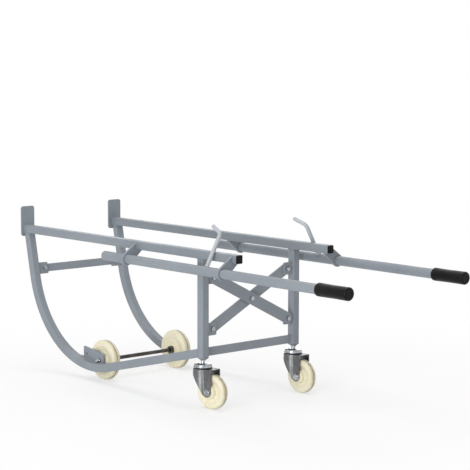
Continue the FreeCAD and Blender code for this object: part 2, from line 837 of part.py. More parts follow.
def hook_lean():
    """Angle from the vertical at which the hook stands just clear of the rail's upper corner."""
    inward = handle_y - (frame_outside - tube_corner)
    up = rail_height - tube_corner - handle_z
    apart = hook_diameter / 2 + tube_corner + hook_gap
    return math.atan2(inward, up) - math.asin(apart / math.hypot(inward, up))


def drum_hook():
    """Rod on the handle tube that leans in over the rail and bends to the rear."""
    axis = V(hook_x, -handle_y, handle_z)
    stand = V(0, math.sin(hook_lean()), math.cos(hook_lean()))
    turn = math.radians(hook_turn)
    tip_way = stand * math.cos(turn) - X * math.sin(turn)
    corner = axis + stand * hook_reach
    cut_back = hook_bend * math.tan(turn / 2)
    before = corner - stand * cut_back
    after = corner + tip_way * cut_back
    middle = before - X * hook_bend
    crest = middle + (corner - middle).normalize() * hook_bend
    tip = corner + tip_way * hook_tip
    path = Part.Wire([line(axis, before), arc(before, crest, after), line(after, tip)])
    section = Part.Wire(Part.makeCircle(hook_diameter / 2, axis, stand))
    hook = path.makePipeShell([section], True, False)
    hook = round_off(hook, hook_end_round, lambda edge: (edge.BoundBox.Center - tip).Length < running_gap)
    return hook.cut(rod(axis - X * overrun, X, handle_diameter, 2 * overrun))


os.makedirs("parts", exist_ok=True)

export_pair("rail", [rail()])
export_pair("rail_plug", [rail_plug()])
export_pair("rocker", [rocker()])
export_pair("upright", [upright()])
export_pair("leg_foot", [leg_foot()])
export_pair("toe_plate", [toe_plate()])
export_pair("handle_bracket_front", [handle_bracket(rail_front - bracket_front_inset)])
export_pair("handle_bracket_rear", [handle_bracket(rail_rear + bracket_rear_station)])
export_pair("axle_plate", [axle_plate()])
export_pair("brace_lugs", brace_lugs())
export_pair("cross_bar_lug", [cross_bar_lug()])

export("brace_bar_front", brace_bar(brace_high_height, brace_low_height, lug_front))
export("brace_bar_rear", brace_bar(brace_low_height, brace_high_height, lug_rear - bar_thickness))
export("brace_spacer", brace_spacer())
export("rear_cross_bar", rear_cross_bar())
export("front_cross_bar", front_cross_bar())
frame_bolts, frame_nuts = frame_fasteners()
export("frame_bolts", *frame_bolts)
export("frame_nuts", *frame_nuts)

export("rear_axle", rear_axle())
export("axle_studs", axle_stud(), mirrored(axle_stud()))
export("axle_washers", axle_washer(), mirrored(axle_washer()))
export("axle_collars", axle_collar(), mirrored(axle_collar()))
export_pair("rear_wheel", [rear_wheel()])
export_pair("rear_bush", [rear_bush()])

export_casters()

export_pair("handle_tube", [handle_tube()])
export_pair("handle_cap", [handle_cap()])
export_pair("handle_grip", [handle_grip()])
export_pair("drum_hook", [drum_hook()])
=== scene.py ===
"""Looks of the drum trolley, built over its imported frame.

Lengths are in metres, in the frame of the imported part: +X runs to the grips, +Y to the right-hand
side, +Z up, with the floor at z = 0.
"""
import json
import logging
import math
from dataclasses import dataclass, field
from enum import Enum
from typing import Iterable, Optional, Sequence

import bmesh
import bpy
from mathutils import Matrix, Vector

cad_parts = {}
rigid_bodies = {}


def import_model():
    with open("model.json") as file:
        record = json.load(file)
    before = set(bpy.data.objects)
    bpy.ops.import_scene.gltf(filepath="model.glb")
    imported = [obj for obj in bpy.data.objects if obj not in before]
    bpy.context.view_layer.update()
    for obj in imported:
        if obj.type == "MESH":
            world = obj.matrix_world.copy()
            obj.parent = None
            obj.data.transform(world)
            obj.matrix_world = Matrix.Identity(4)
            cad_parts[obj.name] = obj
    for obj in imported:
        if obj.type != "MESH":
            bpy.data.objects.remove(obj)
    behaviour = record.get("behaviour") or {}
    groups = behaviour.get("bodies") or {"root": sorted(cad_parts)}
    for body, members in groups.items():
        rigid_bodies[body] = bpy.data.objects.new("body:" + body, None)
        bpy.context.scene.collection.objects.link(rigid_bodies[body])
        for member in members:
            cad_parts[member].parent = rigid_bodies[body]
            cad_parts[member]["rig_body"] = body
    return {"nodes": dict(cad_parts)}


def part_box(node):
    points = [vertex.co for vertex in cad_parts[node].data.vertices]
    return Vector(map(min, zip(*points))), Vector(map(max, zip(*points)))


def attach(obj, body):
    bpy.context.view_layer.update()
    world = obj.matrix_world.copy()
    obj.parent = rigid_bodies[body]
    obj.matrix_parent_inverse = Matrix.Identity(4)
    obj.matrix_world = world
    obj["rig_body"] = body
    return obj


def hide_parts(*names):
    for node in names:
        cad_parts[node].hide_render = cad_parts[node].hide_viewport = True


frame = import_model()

LOG = logging.getLogger("drum_trolley")

Colour = tuple[float, float, float, float]
Point = tuple[float, float, float]
Corner = tuple[float, float, float]
Profile = list[tuple[float, float]]
Run = list[Vector]
Ring = list[bmesh.types.BMVert]
Solid = bmesh.types.BMesh
Mesh = bpy.types.Mesh
Material = bpy.types.Material
Node = bpy.types.Node
Socket = bpy.types.NodeSocket
Sockets = bpy.types.bpy_prop_collection
Tree = bpy.types.NodeTree

MM = 0.001
TINY = 1e-7
X_AXIS = Vector((1.0, 0.0, 0.0))
Y_AXIS = Vector((0.0, 1.0, 0.0))
Z_AXIS = Vector((0.0, 0.0, 1.0))

# The rear run of each rocker leans by this angle, and its cross bar lies square to it.
LEAN = math.radians(12.0)
REAR_AHEAD = Vector((math.cos(LEAN), 0.0, math.sin(LEAN)))
REAR_UP = Vector((-math.sin(LEAN), 0.0, math.cos(LEAN)))

# Mesh work: doubles, slivers, flats, creases and the share of a side that a rounding may take.
SAME_POINT = 2e-6
SLIVER = 0.15 * MM
SPECK = 0.02 * MM
FLAT = math.radians(0.4)
CREASE = 34.0
EDGE_CREASE = 30.0
EDGE_ANGLE = math.radians(40)
MOST_CUT = 0.48

# Fastener shapes: flat top of a hexagon, slope of its turned corners, and a thread's form.
HEXAGON_TOP = 0.47
HEXAGON_SLOPE = math.tan(math.radians(30))
HEXAGON_LEVELS = (1.0, 0.8, 0.6, 0.4, 0.2, 0.0)
THREAD_DEPTH = 0.5
THREAD_SHARE = 0.9
THREAD_LEVELS = 6
THREAD_LEAST = 8
TIP_LEVELS = (0.25, 0.5, 0.7, 0.87, 1.0)


def linear(value: int) -> float:
    """Scene-linear share of an 8-bit screen value."""
    share = value / 255
    return share / 12.92 if share <= 0.04045 else ((share + 0.055) / 1.055) ** 2.4


def tone(red: int, green: int, blue: int) -> Colour:
    """Scene-linear colour of an 8-bit screen colour."""
    return linear(red), linear(green), linear(blue), 1.0


class Side(Enum):
    """The two sides of the trolley, with the sign of their Y."""

    LEFT = -1
    RIGHT = 1

    @property
    def tag(self) -> str:
        """Ending of the names on this side."""
        return self.name.lower()

    def outer(self, low: float, high: float) -> float:
        """The one of two places along Y that lies farther out on this side."""
        return low if self is Side.LEFT else high


class Slot(Enum):
    """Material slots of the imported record."""

    FRAME_PAINT = "frame_paint"
    HOOK_PAINT = "hook_paint"
    BLACK_PLASTIC = "black_plastic"
    GREY_PLASTIC = "grey_plastic"
    GRIP_RUBBER = "grip_rubber"
    NYLON = "nylon"
    ZINC = "zinc"
    BRIGHT_STEEL = "bright_steel"
    AXLE_STEEL = "axle_steel"


CASTER_TURNS = {Side.LEFT: math.radians(8.5), Side.RIGHT: math.radians(2.0)}


# Node trees
class Bench:
    """Adds nodes to one tree and joins their sockets."""

    def __init__(self, tree: Tree) -> None:
        """Work on one tree."""
        self.tree = tree

    def put(self, kind: str, inputs: Optional[dict[str | int, object]] = None,
            **settings: object) -> Node:
        """Add one node.

        Args:
            kind: Blender's name of the node type.
            inputs: values or sockets by input name or number.
            settings: properties of the node.

        Returns:
            The new node.
        """
        node = self.tree.nodes.new(kind)
        for name, value in settings.items():
            setattr(node, name, value)
        for key, value in (inputs or {}).items():
            if isinstance(value, Socket):
                self.join(value, node.inputs[key])
            else:
                node.inputs[key].default_value = value
        return node

    def join(self, source: Socket, target: Socket) -> None:
        """Link one socket to another."""
        self.tree.links.new(source, target)

    def math(self, operation: str, *values: object) -> Socket:
        """Result of one Math node on numbers or sockets."""
        return self.put("ShaderNodeMath", dict(enumerate(values)), operation=operation).outputs[0]

    def vector(self, operation: str, *values: object) -> Sockets:
        """Outputs of one Vector Math node on vectors or sockets."""
        inputs = dict(enumerate(values))
        return self.put("ShaderNodeVectorMath", inputs, operation=operation).outputs

    def parts(self, vector: Socket) -> Sockets:
        """X, Y and Z of a vector."""
        return self.put("ShaderNodeSeparateXYZ", {0: vector}).outputs

    def ramp(self, value: Socket, low: float, high: float,
             start: float = 0.0, end: float = 1.0) -> Socket:
        """Value carried smoothly from low..high to start..end."""
        inputs = dict(enumerate((value, low, high, start, end)))
        return self.put("ShaderNodeMapRange", inputs, interpolation_type="SMOOTHSTEP").outputs[0]

    def blend(self, share: Socket, first: object, second: object) -> Socket:
        """Colour between two colours."""
        inputs = {0: share, 6: first, 7: second}
        return self.put("ShaderNodeMix", inputs, data_type="RGBA").outputs[2]

    def noise(self, place: Socket, scale: object,
              detail: float = 2.0, rough: float = 0.5) -> Socket:
        """Soft noise from 0 to 1."""
        inputs = {0: place, 2: scale, 3: detail, 4: rough}
        return self.put("ShaderNodeTexNoise", inputs).outputs[0]

    def layers(self, body: object, *coats: tuple[Socket, float, Colour]) -> Socket:
        """Colour with further colours laid over it.

        Args:
            body: colour underneath.
            coats: mask, share and colour of each further layer.

        Returns:
            The colour of all layers together.
        """
        for mask, share, colour in coats:
            body = self.blend(self.math("MULTIPLY", mask, share), body, colour)
        return body

    def sums(self, base: object, *shares: tuple[Socket, float]) -> Socket:
        """Value with shares of some masks added to it.

        Args:
            base: value where no mask is set.
            shares: each mask with the amount that it adds.

        Returns:
            The sum.
        """
        for mask, amount in shares:
            base = self.math("MULTIPLY_ADD", mask, amount, base)
        return base


class Effects:
    """Shader groups that several finishes share.

    The ranges say which part of a noise or of a slope goes into each mask.
    """

    CLOUD = (0.32, 0.68)
    FLECK = (0.66, 0.78)
    FLECK_SCALE = 0.35
    EDGE = (0.01, 0.12)
    BROKEN = (0.42, 0.62)
    LEVEL = (0.55, 1.0)
    SETTLED = (0.4, 0.75)
    SCRATCHED = (0.56, 0.7)
    ORIGIN = (0.0, 0.0, 0.0)

    def __init__(self) -> None:
        """Build each group once."""
        self.grain = self._grain()
        self.wear = self._wear()
        self.dust = self._dust()
        self.hairlines = self._hairlines()
        self.rings = self._rings()

    def _open(self, name: str, inputs: dict[str, object],
              outputs: Sequence[str]) -> tuple[Bench, Sockets, Sockets]:
        """Start a group that reads a place.

        Args:
            name: name of the group.
            inputs: names of further inputs with their default values; a tuple is a vector.
            outputs: names of the value outputs.

        Returns:
            Bench, sockets that the group is given, and sockets that it puts out.
        """
        tree = bpy.data.node_groups.new(name, "ShaderNodeTree")
        for label, value in {"Vector": self.ORIGIN, **inputs}.items():
            kind = "NodeSocketVector" if isinstance(value, tuple) else "NodeSocketFloat"
            socket = tree.interface.new_socket(label, in_out="INPUT", socket_type=kind)
            socket.default_value = value
        for label in outputs:
            tree.interface.new_socket(label, in_out="OUTPUT", socket_type="NodeSocketFloat")
        bench = Bench(tree)
        return bench, bench.put("NodeGroupInput").outputs, bench.put("NodeGroupOutput").inputs

    def _grain(self) -> Tree:
        """Fine skin of a coating, and soft clouds and flecks in it.

        Returns:
            The group.
        """
        bench, given, out = self._open(
            "skin_grain", {"Fine Scale": 700.0, "Cloud Scale": 9.0}, ("Grain", "Cloud", "Fleck"))
        place = given["Vector"]
        fine = bench.noise(place, given["Fine Scale"], detail=3.0, rough=0.55)
        cloud = bench.noise(place, given["Cloud Scale"], detail=4.0, rough=0.6)
        coarse = bench.math("MULTIPLY", given["Fine Scale"], self.FLECK_SCALE)
        fleck = bench.noise(place, coarse, detail=1.0)
        bench.join(fine, out["Grain"])
        bench.join(bench.ramp(cloud, *self.CLOUD), out["Cloud"])
        bench.join(bench.ramp(fleck, *self.FLECK), out["Fleck"])
        return bench.tree

    def _wear(self) -> Tree:
        """Mask of rubbed edges, broken up by noise.

        Returns:
            The group.
        """
        bench, given, out = self._open(
            "edge_wear", {"Radius": 1.2 * MM, "Breakup": 60.0}, ("Mask",))
        rounded = bench.put("ShaderNodeBevel", {0: given["Radius"]}, samples=4).outputs[0]
        plain = bench.put("ShaderNodeNewGeometry").outputs["Normal"]
        along = bench.vector("DOT_PRODUCT", rounded, plain)["Value"]
        edge = bench.ramp(bench.math("SUBTRACT", 1.0, along), *self.EDGE)
        patches = bench.noise(given["Vector"], given["Breakup"], detail=4.0, rough=0.65)
        bench.join(bench.math("MULTIPLY", edge, bench.ramp(patches, *self.BROKEN)), out["Mask"])
        return bench.tree

    def _dust(self) -> Tree:
        """Mask of dust on faces that look up, and of dirt near the floor.

        Returns:
            The group.
        """
        bench, given, out = self._open(
            "settled_dust", {"Scale": 26.0, "Floor Reach": 0.12}, ("Mask", "Low"))
        facing = bench.parts(bench.put("ShaderNodeNewGeometry").outputs["Normal"])[2]
        drift = bench.noise(given["Vector"], given["Scale"], detail=5.0, rough=0.62)
        spread = bench.ramp(drift, *self.SETTLED)
        level = bench.ramp(facing, *self.LEVEL)
        bench.join(bench.math("MULTIPLY", level, spread), out["Mask"])
        height = bench.math("DIVIDE", bench.parts(given["Vector"])[2], given["Floor Reach"])
        near = bench.ramp(bench.math("SUBTRACT", 1.0, height), 0.0, 1.0)
        bench.join(bench.math("MULTIPLY", near, spread), out["Low"])
        return bench.tree

    def _hairlines(self) -> Tree:
        """Fine scratches drawn out along one direction.

        Returns:
            The group.
        """
        bench, given, out = self._open(
            "hairlines", {"Stretch": (40.0, 900.0, 900.0)}, ("Mask", "Height"))
        drawn = bench.vector("MULTIPLY", given["Vector"], given["Stretch"])[0]
        lines = bench.noise(drawn, scale=1.0, detail=3.0, rough=0.6)
        bench.join(bench.ramp(lines, *self.SCRATCHED), out["Mask"])
        bench.join(lines, out["Height"])
        return bench.tree

    def _rings(self) -> Tree:
        """Rings about the Y axis of a centred pattern, and the distances from and along it.

        Returns:
            The group.
        """
        bench, given, out = self._open(
            "turned_rings", {"Pitch": 1.6 * MM}, ("Rings", "Distance", "Across"))
        part = bench.parts(given["Vector"])
        flat = bench.put("ShaderNodeCombineXYZ", {0: part[0], 2: part[2]}).outputs[0]
        distance = bench.vector("LENGTH", flat)["Value"]
        turns = bench.math("DIVIDE", distance, given["Pitch"])
        wave = bench.math("SINE", bench.math("MULTIPLY", turns, 2 * math.pi))
        bench.join(bench.math("MULTIPLY_ADD", wave, 0.5, 0.5), out["Rings"])
        bench.join(distance, out["Distance"])
        bench.join(bench.math("ABSOLUTE", part[1]), out["Across"])
        return bench.tree


class Finish:
    """Base of the finishes: opens a material and places shared effects in it."""

    effects: Effects

    @staticmethod
    def open(name: str) -> tuple[Material, Bench, Node, Socket]:
        """Start a material.

        Args:
            name: name of the material.

        Returns:
            Material, bench, Principled shader and the object's coordinates.
        """
        material = bpy.data.materials.new(name)
        material.use_nodes = True
        bench = Bench(material.node_tree)
        place = bench.put("ShaderNodeTexCoord").outputs["Object"]
        return material, bench, material.node_tree.nodes["Principled BSDF"], place

    @staticmethod
    def effect(bench: Bench, group: Tree, place: Socket, **values: object) -> Sockets:
        """Place a shared group.

        Args:
            bench: bench of the material.
            group: one of the shared effects.
            place: coordinates that it reads.
            values: inputs by name, with underscores for blanks.

        Returns:
            The outputs of the group.
        """
        inputs = {label.replace("_", " "): value for label, value in values.items()}
        return bench.put("ShaderNodeGroup", {"Vector": place, **inputs}, node_tree=group).outputs

    @staticmethod
    def relief(bench: Bench, shader: Node, height: Socket, depth: float, strength: float) -> None:
        """Feed a height to the shader's normal.

        Args:
            bench: bench of the material.
            shader: its Principled shader.
            height: pattern from 0 to 1.
            depth: length that the whole height stands for.
            strength: share of the relief that shows.
        """
        inputs = {"Height": height, "Distance": depth, "Strength": strength}
        bench.join(bench.put("ShaderNodeBump", inputs).outputs[0], shader.inputs["Normal"])


@dataclass(frozen=True)
class Paint(Finish):
    """Powder coat with a fine orange peel, rubbed edges and a little dust."""

    name: str
    colour: Colour
    shade: Colour
    worn: Colour
    roughness: float = 0.46
    cloud_rough: float = 0.1
    dust_rough: float = 0.18
    worn_rough: float = -0.1
    gloss: float = 0.45
    peel: float = 0.22 * MM
    peel_strength: float = 0.55
    shade_share: float = 0.55
    fleck_share: float = 0.16
    worn_share: float = 0.55
    dust: Colour = tone(205, 203, 198)
    dust_share: float = 0.14
    dirt: Colour = tone(96, 94, 90)
    dirt_share: float = 0.25

    def build(self) -> Material:
        """Build the material.

        Returns:
            The finished material.
        """
        material, bench, shader, place = self.open(self.name)
        grain = self.effect(bench, self.effects.grain, place, Fine_Scale=520.0, Cloud_Scale=7.0)
        wear = self.effect(bench, self.effects.wear, place, Radius=1.1 * MM, Breakup=55.0)
        dust = self.effect(bench, self.effects.dust, place, Scale=24.0, Floor_Reach=0.16)
        body = bench.layers(
            self.colour,
            (grain["Cloud"], self.shade_share, self.shade),
            (grain["Fleck"], self.fleck_share, self.worn),
            (wear["Mask"], self.worn_share, self.worn),
            (dust["Mask"], self.dust_share, self.dust),
            (dust["Low"], self.dirt_share, self.dirt))
        bench.join(body, shader.inputs["Base Color"])
        rough = bench.sums(
            self.roughness - self.cloud_rough / 2, (grain["Cloud"], self.cloud_rough),
            (dust["Mask"], self.dust_rough), (wear["Mask"], self.worn_rough))
        bench.join(rough, shader.inputs["Roughness"])
        shader.inputs["Specular IOR Level"].default_value = self.gloss
        self.relief(bench, shader, grain["Grain"], self.peel, self.peel_strength)
        return material


@dataclass(frozen=True)
class Plating(Finish):
    """Metal with cloudy tint, hairlines and brighter rubbed edges."""

    name: str
    colour: Colour
    tint: Colour
    worn: Colour
    roughness: float = 0.3
    cloud_rough: float = 0.14
    line_rough: float = 0.1
    stretch: Point = (2200.0, 2200.0, 130.0)
    line_share: float = 0.14
    line_depth: float = 0.04 * MM
    line_strength: float = 0.5
    worn_share: float = 0.7
    dirt: Colour = tone(70, 66, 60)
    dirt_share: float = 0.2

    def build(self) -> Material:
        """Build the material.

        Returns:
            The finished material.
        """
        material, bench, shader, place = self.open(self.name)
        grain = self.effect(bench, self.effects.grain, place, Fine_Scale=1500.0, Cloud_Scale=38.0)
        wear = self.effect(bench, self.effects.wear, place, Radius=0.9 * MM, Breakup=120.0)
        lines = self.effect(bench, self.effects.hairlines, place, Stretch=self.stretch)
        dust = self.effect(bench, self.effects.dust, place, Scale=60.0, Floor_Reach=0.07)
        body = bench.layers(
            bench.blend(grain["Cloud"], self.colour, self.tint),
            (lines["Mask"], self.line_share, self.worn),
            (wear["Mask"], self.worn_share, self.worn),
            (dust["Low"], self.dirt_share, self.dirt))
        bench.join(body, shader.inputs["Base Color"])
        shader.inputs["Metallic"].default_value = 1.0
        rough = bench.sums(
            self.roughness - self.cloud_rough / 2, (grain["Cloud"], self.cloud_rough),
            (lines["Mask"], self.line_rough))
        bench.join(rough, shader.inputs["Roughness"])
        self.relief(bench, shader, lines["Height"], self.line_depth, self.line_strength)
        return material


@dataclass(frozen=True)
class Nylon(Finish):
    """Cast nylon: creamy, a little clouded, with faint mould rings, a scuffed tread and a tread
    groove darkened by dirt and painted shade.
    """

    name: str
    centre: Point
    turn: float
    radius: float
    colour: Colour = tone(226, 220, 195)
    shade: Colour = tone(214, 206, 176)
    shade_share: float = 0.5
    rubbed: Colour = tone(238, 234, 216)
    rubbed_share: float = 0.25
    scuff: Colour = tone(150, 138, 108)
    scuff_share: float = 0.38
    # Dark line in the tread groove: partly dirt, partly painted shade of the groove.
    seam: Colour = tone(70, 60, 42)
    seam_share: float = 0.9
    seam_ends: tuple[float, float] = (1.8 * MM, 1.0 * MM)
    tread_shares: tuple[float, float] = (0.972, 0.996)
    patch_scale: float = 70.0
    patch_range: tuple[float, float] = (0.38, 0.7)
    roughness: float = 0.38
    cloud_rough: float = 0.1
    tread_rough: float = 0.15
    ring_pitch: float = 2.1 * MM
    ring_share: float = 0.6
    skin_depth: float = 0.08 * MM
    skin_strength: float = 0.6
    glow: float = 0.12
    glow_reach: Point = (4.0 * MM, 3.0 * MM, 1.5 * MM)

    def build(self) -> Material:
        """Build the material.

        Returns:
            The finished material.
        """
        material, bench, shader, place = self.open(self.name)
        turned = Matrix.Rotation(-self.turn, 3, "Z")
        centred = bench.put("ShaderNodeMapping", {
            "Vector": place, "Location": -(turned @ Vector(self.centre)),
            "Rotation": (0.0, 0.0, -self.turn)}).outputs[0]
        rings = self.effect(bench, self.effects.rings, centred, Pitch=self.ring_pitch)
        grain = self.effect(bench, self.effects.grain, centred, Fine_Scale=900.0, Cloud_Scale=34.0)
        wear = self.effect(bench, self.effects.wear, centred, Radius=1.6 * MM, Breakup=90.0)
        start, end = (self.radius * share for share in self.tread_shares)
        tread = bench.ramp(rings["Distance"], start, end)
        patch = bench.noise(centred, self.patch_scale, detail=5.0, rough=0.65)
        patch = bench.ramp(patch, *self.patch_range)
        # Mask of the tread groove, which takes painted shade and some dirt.
        line = bench.ramp(rings["Across"], *self.seam_ends)
        body = bench.layers(
            self.colour,
            (grain["Cloud"], self.shade_share, self.shade),
            (wear["Mask"], self.rubbed_share, self.rubbed),
            (bench.math("MULTIPLY", tread, patch), self.scuff_share, self.scuff),
            (bench.math("MULTIPLY", tread, line), self.seam_share, self.seam))
        bench.join(body, shader.inputs["Base Color"])
        shader.inputs["Subsurface Weight"].default_value = self.glow
        shader.inputs["Subsurface Radius"].default_value = self.glow_reach
        shader.inputs["Subsurface Scale"].default_value = 1.0
        rough = bench.sums(
            self.roughness, (grain["Cloud"], self.cloud_rough), (tread, self.tread_rough))
        bench.join(rough, shader.inputs["Roughness"])
        height = bench.sums(grain["Grain"], (rings["Rings"], self.ring_share))
        self.relief(bench, shader, height, self.skin_depth, self.skin_strength)
        return material


@dataclass(frozen=True)
class Moulding(Finish):
    """Rubber or plastic with a fine leathery grain and pale rubbed high spots."""

    name: str
    colour: Colour
    rubbed: Colour
    roughness: float
    cloud_rough: float = 0.12
    grain_scale: float = 950.0
    grain_depth: float = 0.12 * MM
    grain_strength: float = 0.6
    cell_scale: float = 0.7
    gloss: float = 0.15
    cloud_share: float = 0.3
    rubbed_share: float = 0.45
    dust: Colour = tone(170, 168, 164)
    dust_share: float = 0.06

    def build(self) -> Material:
        """Build the material.

        Returns:
            The finished material.
        """
        material, bench, shader, place = self.open(self.name)
        grain = self.effect(
            bench, self.effects.grain, place, Fine_Scale=self.grain_scale, Cloud_Scale=22.0)
        wear = self.effect(bench, self.effects.wear, place, Radius=1.0 * MM, Breakup=80.0)
        dust = self.effect(bench, self.effects.dust, place, Scale=48.0, Floor_Reach=0.05)
        cells = bench.put("ShaderNodeTexVoronoi", {
            "Vector": place, "Scale": self.grain_scale * self.cell_scale}).outputs["Distance"]
        body = bench.layers(
            self.colour,
            (grain["Cloud"], self.cloud_share, self.rubbed),
            (wear["Mask"], self.rubbed_share, self.rubbed),
            (dust["Mask"], self.dust_share, self.dust))
        bench.join(body, shader.inputs["Base Color"])
        rough = bench.sums(
            self.roughness - self.cloud_rough / 2, (grain["Cloud"], self.cloud_rough))
        bench.join(rough, shader.inputs["Roughness"])
        shader.inputs["Specular IOR Level"].default_value = self.gloss
        skin = bench.math("ADD", cells, grain["Grain"])
        self.relief(bench, shader, skin, self.grain_depth, self.grain_strength)
        return material


class Palette:
    """All finishes of the trolley, built once."""

    def __init__(self) -> None:
        """Build the shared effects, then each finish."""
        Finish.effects = Effects()
        self.frame_paint = Paint(
            "grey_powder_coat", tone(132, 139, 146), tone(121, 128, 136), tone(165, 171, 177),
            roughness=0.46).build()
        self.hook_paint = Paint(
            "pale_powder_coat", tone(176, 181, 186), tone(165, 171, 177), tone(200, 203, 206),
            roughness=0.42).build()
        self.black_plastic = Moulding(
            "black_plastic", tone(10, 10, 11), tone(22, 22, 24), roughness=0.5).build()
        self.grey_plastic = Moulding(
            "grey_plastic", tone(138, 145, 151), tone(160, 165, 170), roughness=0.48).build()
        self.grip_rubber = Moulding(
            "grip_rubber", tone(9, 9, 10), tone(24, 24, 24), roughness=0.36,
            grain_scale=620.0).build()
        self.zinc = Plating(
            "bright_zinc", tone(182, 186, 189), tone(146, 150, 154), tone(230, 232, 234),
            roughness=0.17).build()
        # The fork's zinc is darker than plain zinc: its base colour holds painted reflection of
        # dark surroundings.
        self.pressed_zinc = Plating(
            "pressed_zinc", tone(116, 118, 119), tone(98, 100, 100), tone(196, 198, 200),
            roughness=0.36).build()
        self.bright_steel = Plating(
            "bright_steel", tone(160, 160, 158), tone(132, 132, 130), tone(210, 210, 208),
            roughness=0.24).build()
        self.axle_steel = Plating(
            "oiled_steel", tone(92, 90, 87), tone(62, 60, 58), tone(150, 148, 145),
            stretch=(900.0, 30.0, 900.0)).build()


# Profiles and solids
def round_corners(corners: Sequence[Corner], steps: int = 5) -> Profile:
    """Closed profile with its corners rounded.

    Args:
        corners: radius, height and rounding of each corner in order; a rounding of 0 is sharp.
        steps: pieces in each arc.

    Returns:
        The points of the rounded profile.
    """
    made: Profile = []
    places = [Vector(corner[:2]) for corner in corners]
    for number, (corner, (_, _, ease)) in enumerate(zip(places, corners)):
        back = places[number - 1] - corner
        ahead = places[(number + 1) % len(places)] - corner
        if ease <= 0 or back.length < TINY or ahead.length < TINY:
            made.append(tuple(corner))
            continue
        half = back.angle(ahead) / 2
        cut = min(ease / math.tan(half), MOST_CUT * back.length, MOST_CUT * ahead.length)
        back.normalize()
        ahead.normalize()
        first, last = corner + back * cut, corner + ahead * cut
        middle = corner + (back + ahead).normalized() * (cut / math.cos(half))
        sweep = math.pi - 2 * half
        spin = 1 if (first - middle).cross(last - middle) > 0 else -1
        for step in range(steps + 1):
            turn = Matrix.Rotation(spin * sweep * step / steps, 2)
            made.append(tuple(middle + turn @ (first - middle)))
    return made


def sleeve(inner: float, outer: float, start: float, end: float,
           eases: Sequence[float] = (0.0, 0.0, 0.0, 0.0), steps: int = 3) -> Profile:
    """Profile of a ring, or of a rod where there is no hole.

    Args:
        inner: radius of the hole, 0 for a rod.
        outer: radius of the outside.
        start: height of the first face.
        end: height of the last face.
        eases: roundings, from the hole's start round the outside to the hole's end.
        steps: pieces in each rounding.

    Returns:
        The closed profile.
    """
    corners = ((inner, start), (outer, start), (outer, end), (inner, end))
    return round_corners([(*corner, ease) for corner, ease in zip(corners, eases)], steps)


def steps_round(turns: int) -> list[float]:
    """Angles of equal steps round a circle."""
    return [2 * math.pi * step / turns for step in range(turns)]


def ring_of(made: Solid, radii: Sequence[float], height: float) -> Ring:
    """Points round Z at one height, one for each radius."""
    angles = zip(radii, steps_round(len(radii)))
    return [made.verts.new((r * math.cos(a), r * math.sin(a), height)) for r, a in angles]


def stitched(made: Solid, rings: Sequence[Ring], closed: bool = False) -> Solid:
    """Skin over a stack of rings; a ring of one point is a pole.

    Args:
        made: mesh that holds the rings.
        rings: rings from the first end to the last.
        closed: whether the last ring meets the first; otherwise both ends are capped.

    Returns:
        The same mesh, closed and facing outwards.
    """
    pairs = list(zip(rings, rings[1:]))
    if closed:
        pairs.append((rings[-1], rings[0]))
    for first, second in pairs:
        turns = max(len(first), len(second))
        for step in range(turns if turns > 1 else 0):
            following = (step + 1) % turns
            around = (first[step % len(first)], first[following % len(first)],
                      second[following % len(second)], second[step % len(second)])
            made.faces.new(list(dict.fromkeys(around)))
    if not closed:
        made.faces.new(rings[-1])
        made.faces.new(list(reversed(rings[0])))
    bmesh.ops.recalc_face_normals(made, faces=made.faces)
    return made


def lathe(profile: Profile, turns: int = 72) -> Solid:
    """Solid of revolution about Z from a closed profile of (radius, height) pairs.

    Args:
        profile: closed run of points; those on the axis become poles.
        turns: faces round the axis.

    Returns:
        A new closed mesh.
    """
    made = bmesh.new()
    rings = [ring_of(made, [radius] * (turns if radius > TINY else 1), height)
             for radius, height in profile]
    return stitched(made, rings, closed=True)


def placed(solid: Solid, origin: Vector, axis: Vector) -> Solid:
    """Move a mesh to its place.

    Args:
        solid: mesh about Z with its foot at the origin.
        origin: new place of the foot.
        axis: new direction of Z.

    Returns:
        The same mesh.
    """
    turn = axis.to_track_quat("Z", "Y").to_matrix().to_4x4()
    bmesh.ops.transform(solid, matrix=Matrix.Translation(origin) @ turn, verts=solid.verts)
    return solid


def spun(profile: Profile, origin: Vector, axis: Vector, turns: int = 72) -> Solid:
    """Solid of revolution about an axis through a point."""
    return placed(lathe(profile, turns), origin, axis)


def merged(solids: Iterable[Solid]) -> Solid:
    """Join some meshes to one.

    Args:
        solids: the meshes, which are used up.

    Returns:
        One mesh that holds them all.
    """
    made = bmesh.new()
    for solid in solids:
        carrier = bpy.data.meshes.new("carrier")
        solid.to_mesh(carrier)
        solid.free()
        made.from_mesh(carrier)
        bpy.data.meshes.remove(carrier)
    return made


def hexagon(flats: float, height: float, bore: float = 0.0, turns: int = 72) -> Solid:
    """Hexagon head or nut along Z whose upper corners are turned down to a cone.

    Args:
        flats: width over the flats.
        height: full height.
        bore: diameter of the hole, 0 for a head.
        turns: faces round the axis.

    Returns:
        A new closed mesh with its seat at z = 0.
    """
    made = bmesh.new()
    face = HEXAGON_TOP * flats
    drop = (flats / math.sqrt(3) - face) * HEXAGON_SLOPE
    sixth = math.pi / 3
    reaches = [flats / 2 / math.cos((angle + sixth / 2) % sixth - sixth / 2)
               for angle in steps_round(turns)]
    rings = []
    for level in (0.0, *(height - drop * share for share in HEXAGON_LEVELS)):
        cone = face + (height - level) / HEXAGON_SLOPE
        rings.append(ring_of(made, [min(reach, cone) for reach in reaches], level))
    if bore:
        rings += [ring_of(made, [bore / 2] * turns, level) for level in (height, 0.0)]
    return stitched(made, rings, closed=bore > 0)


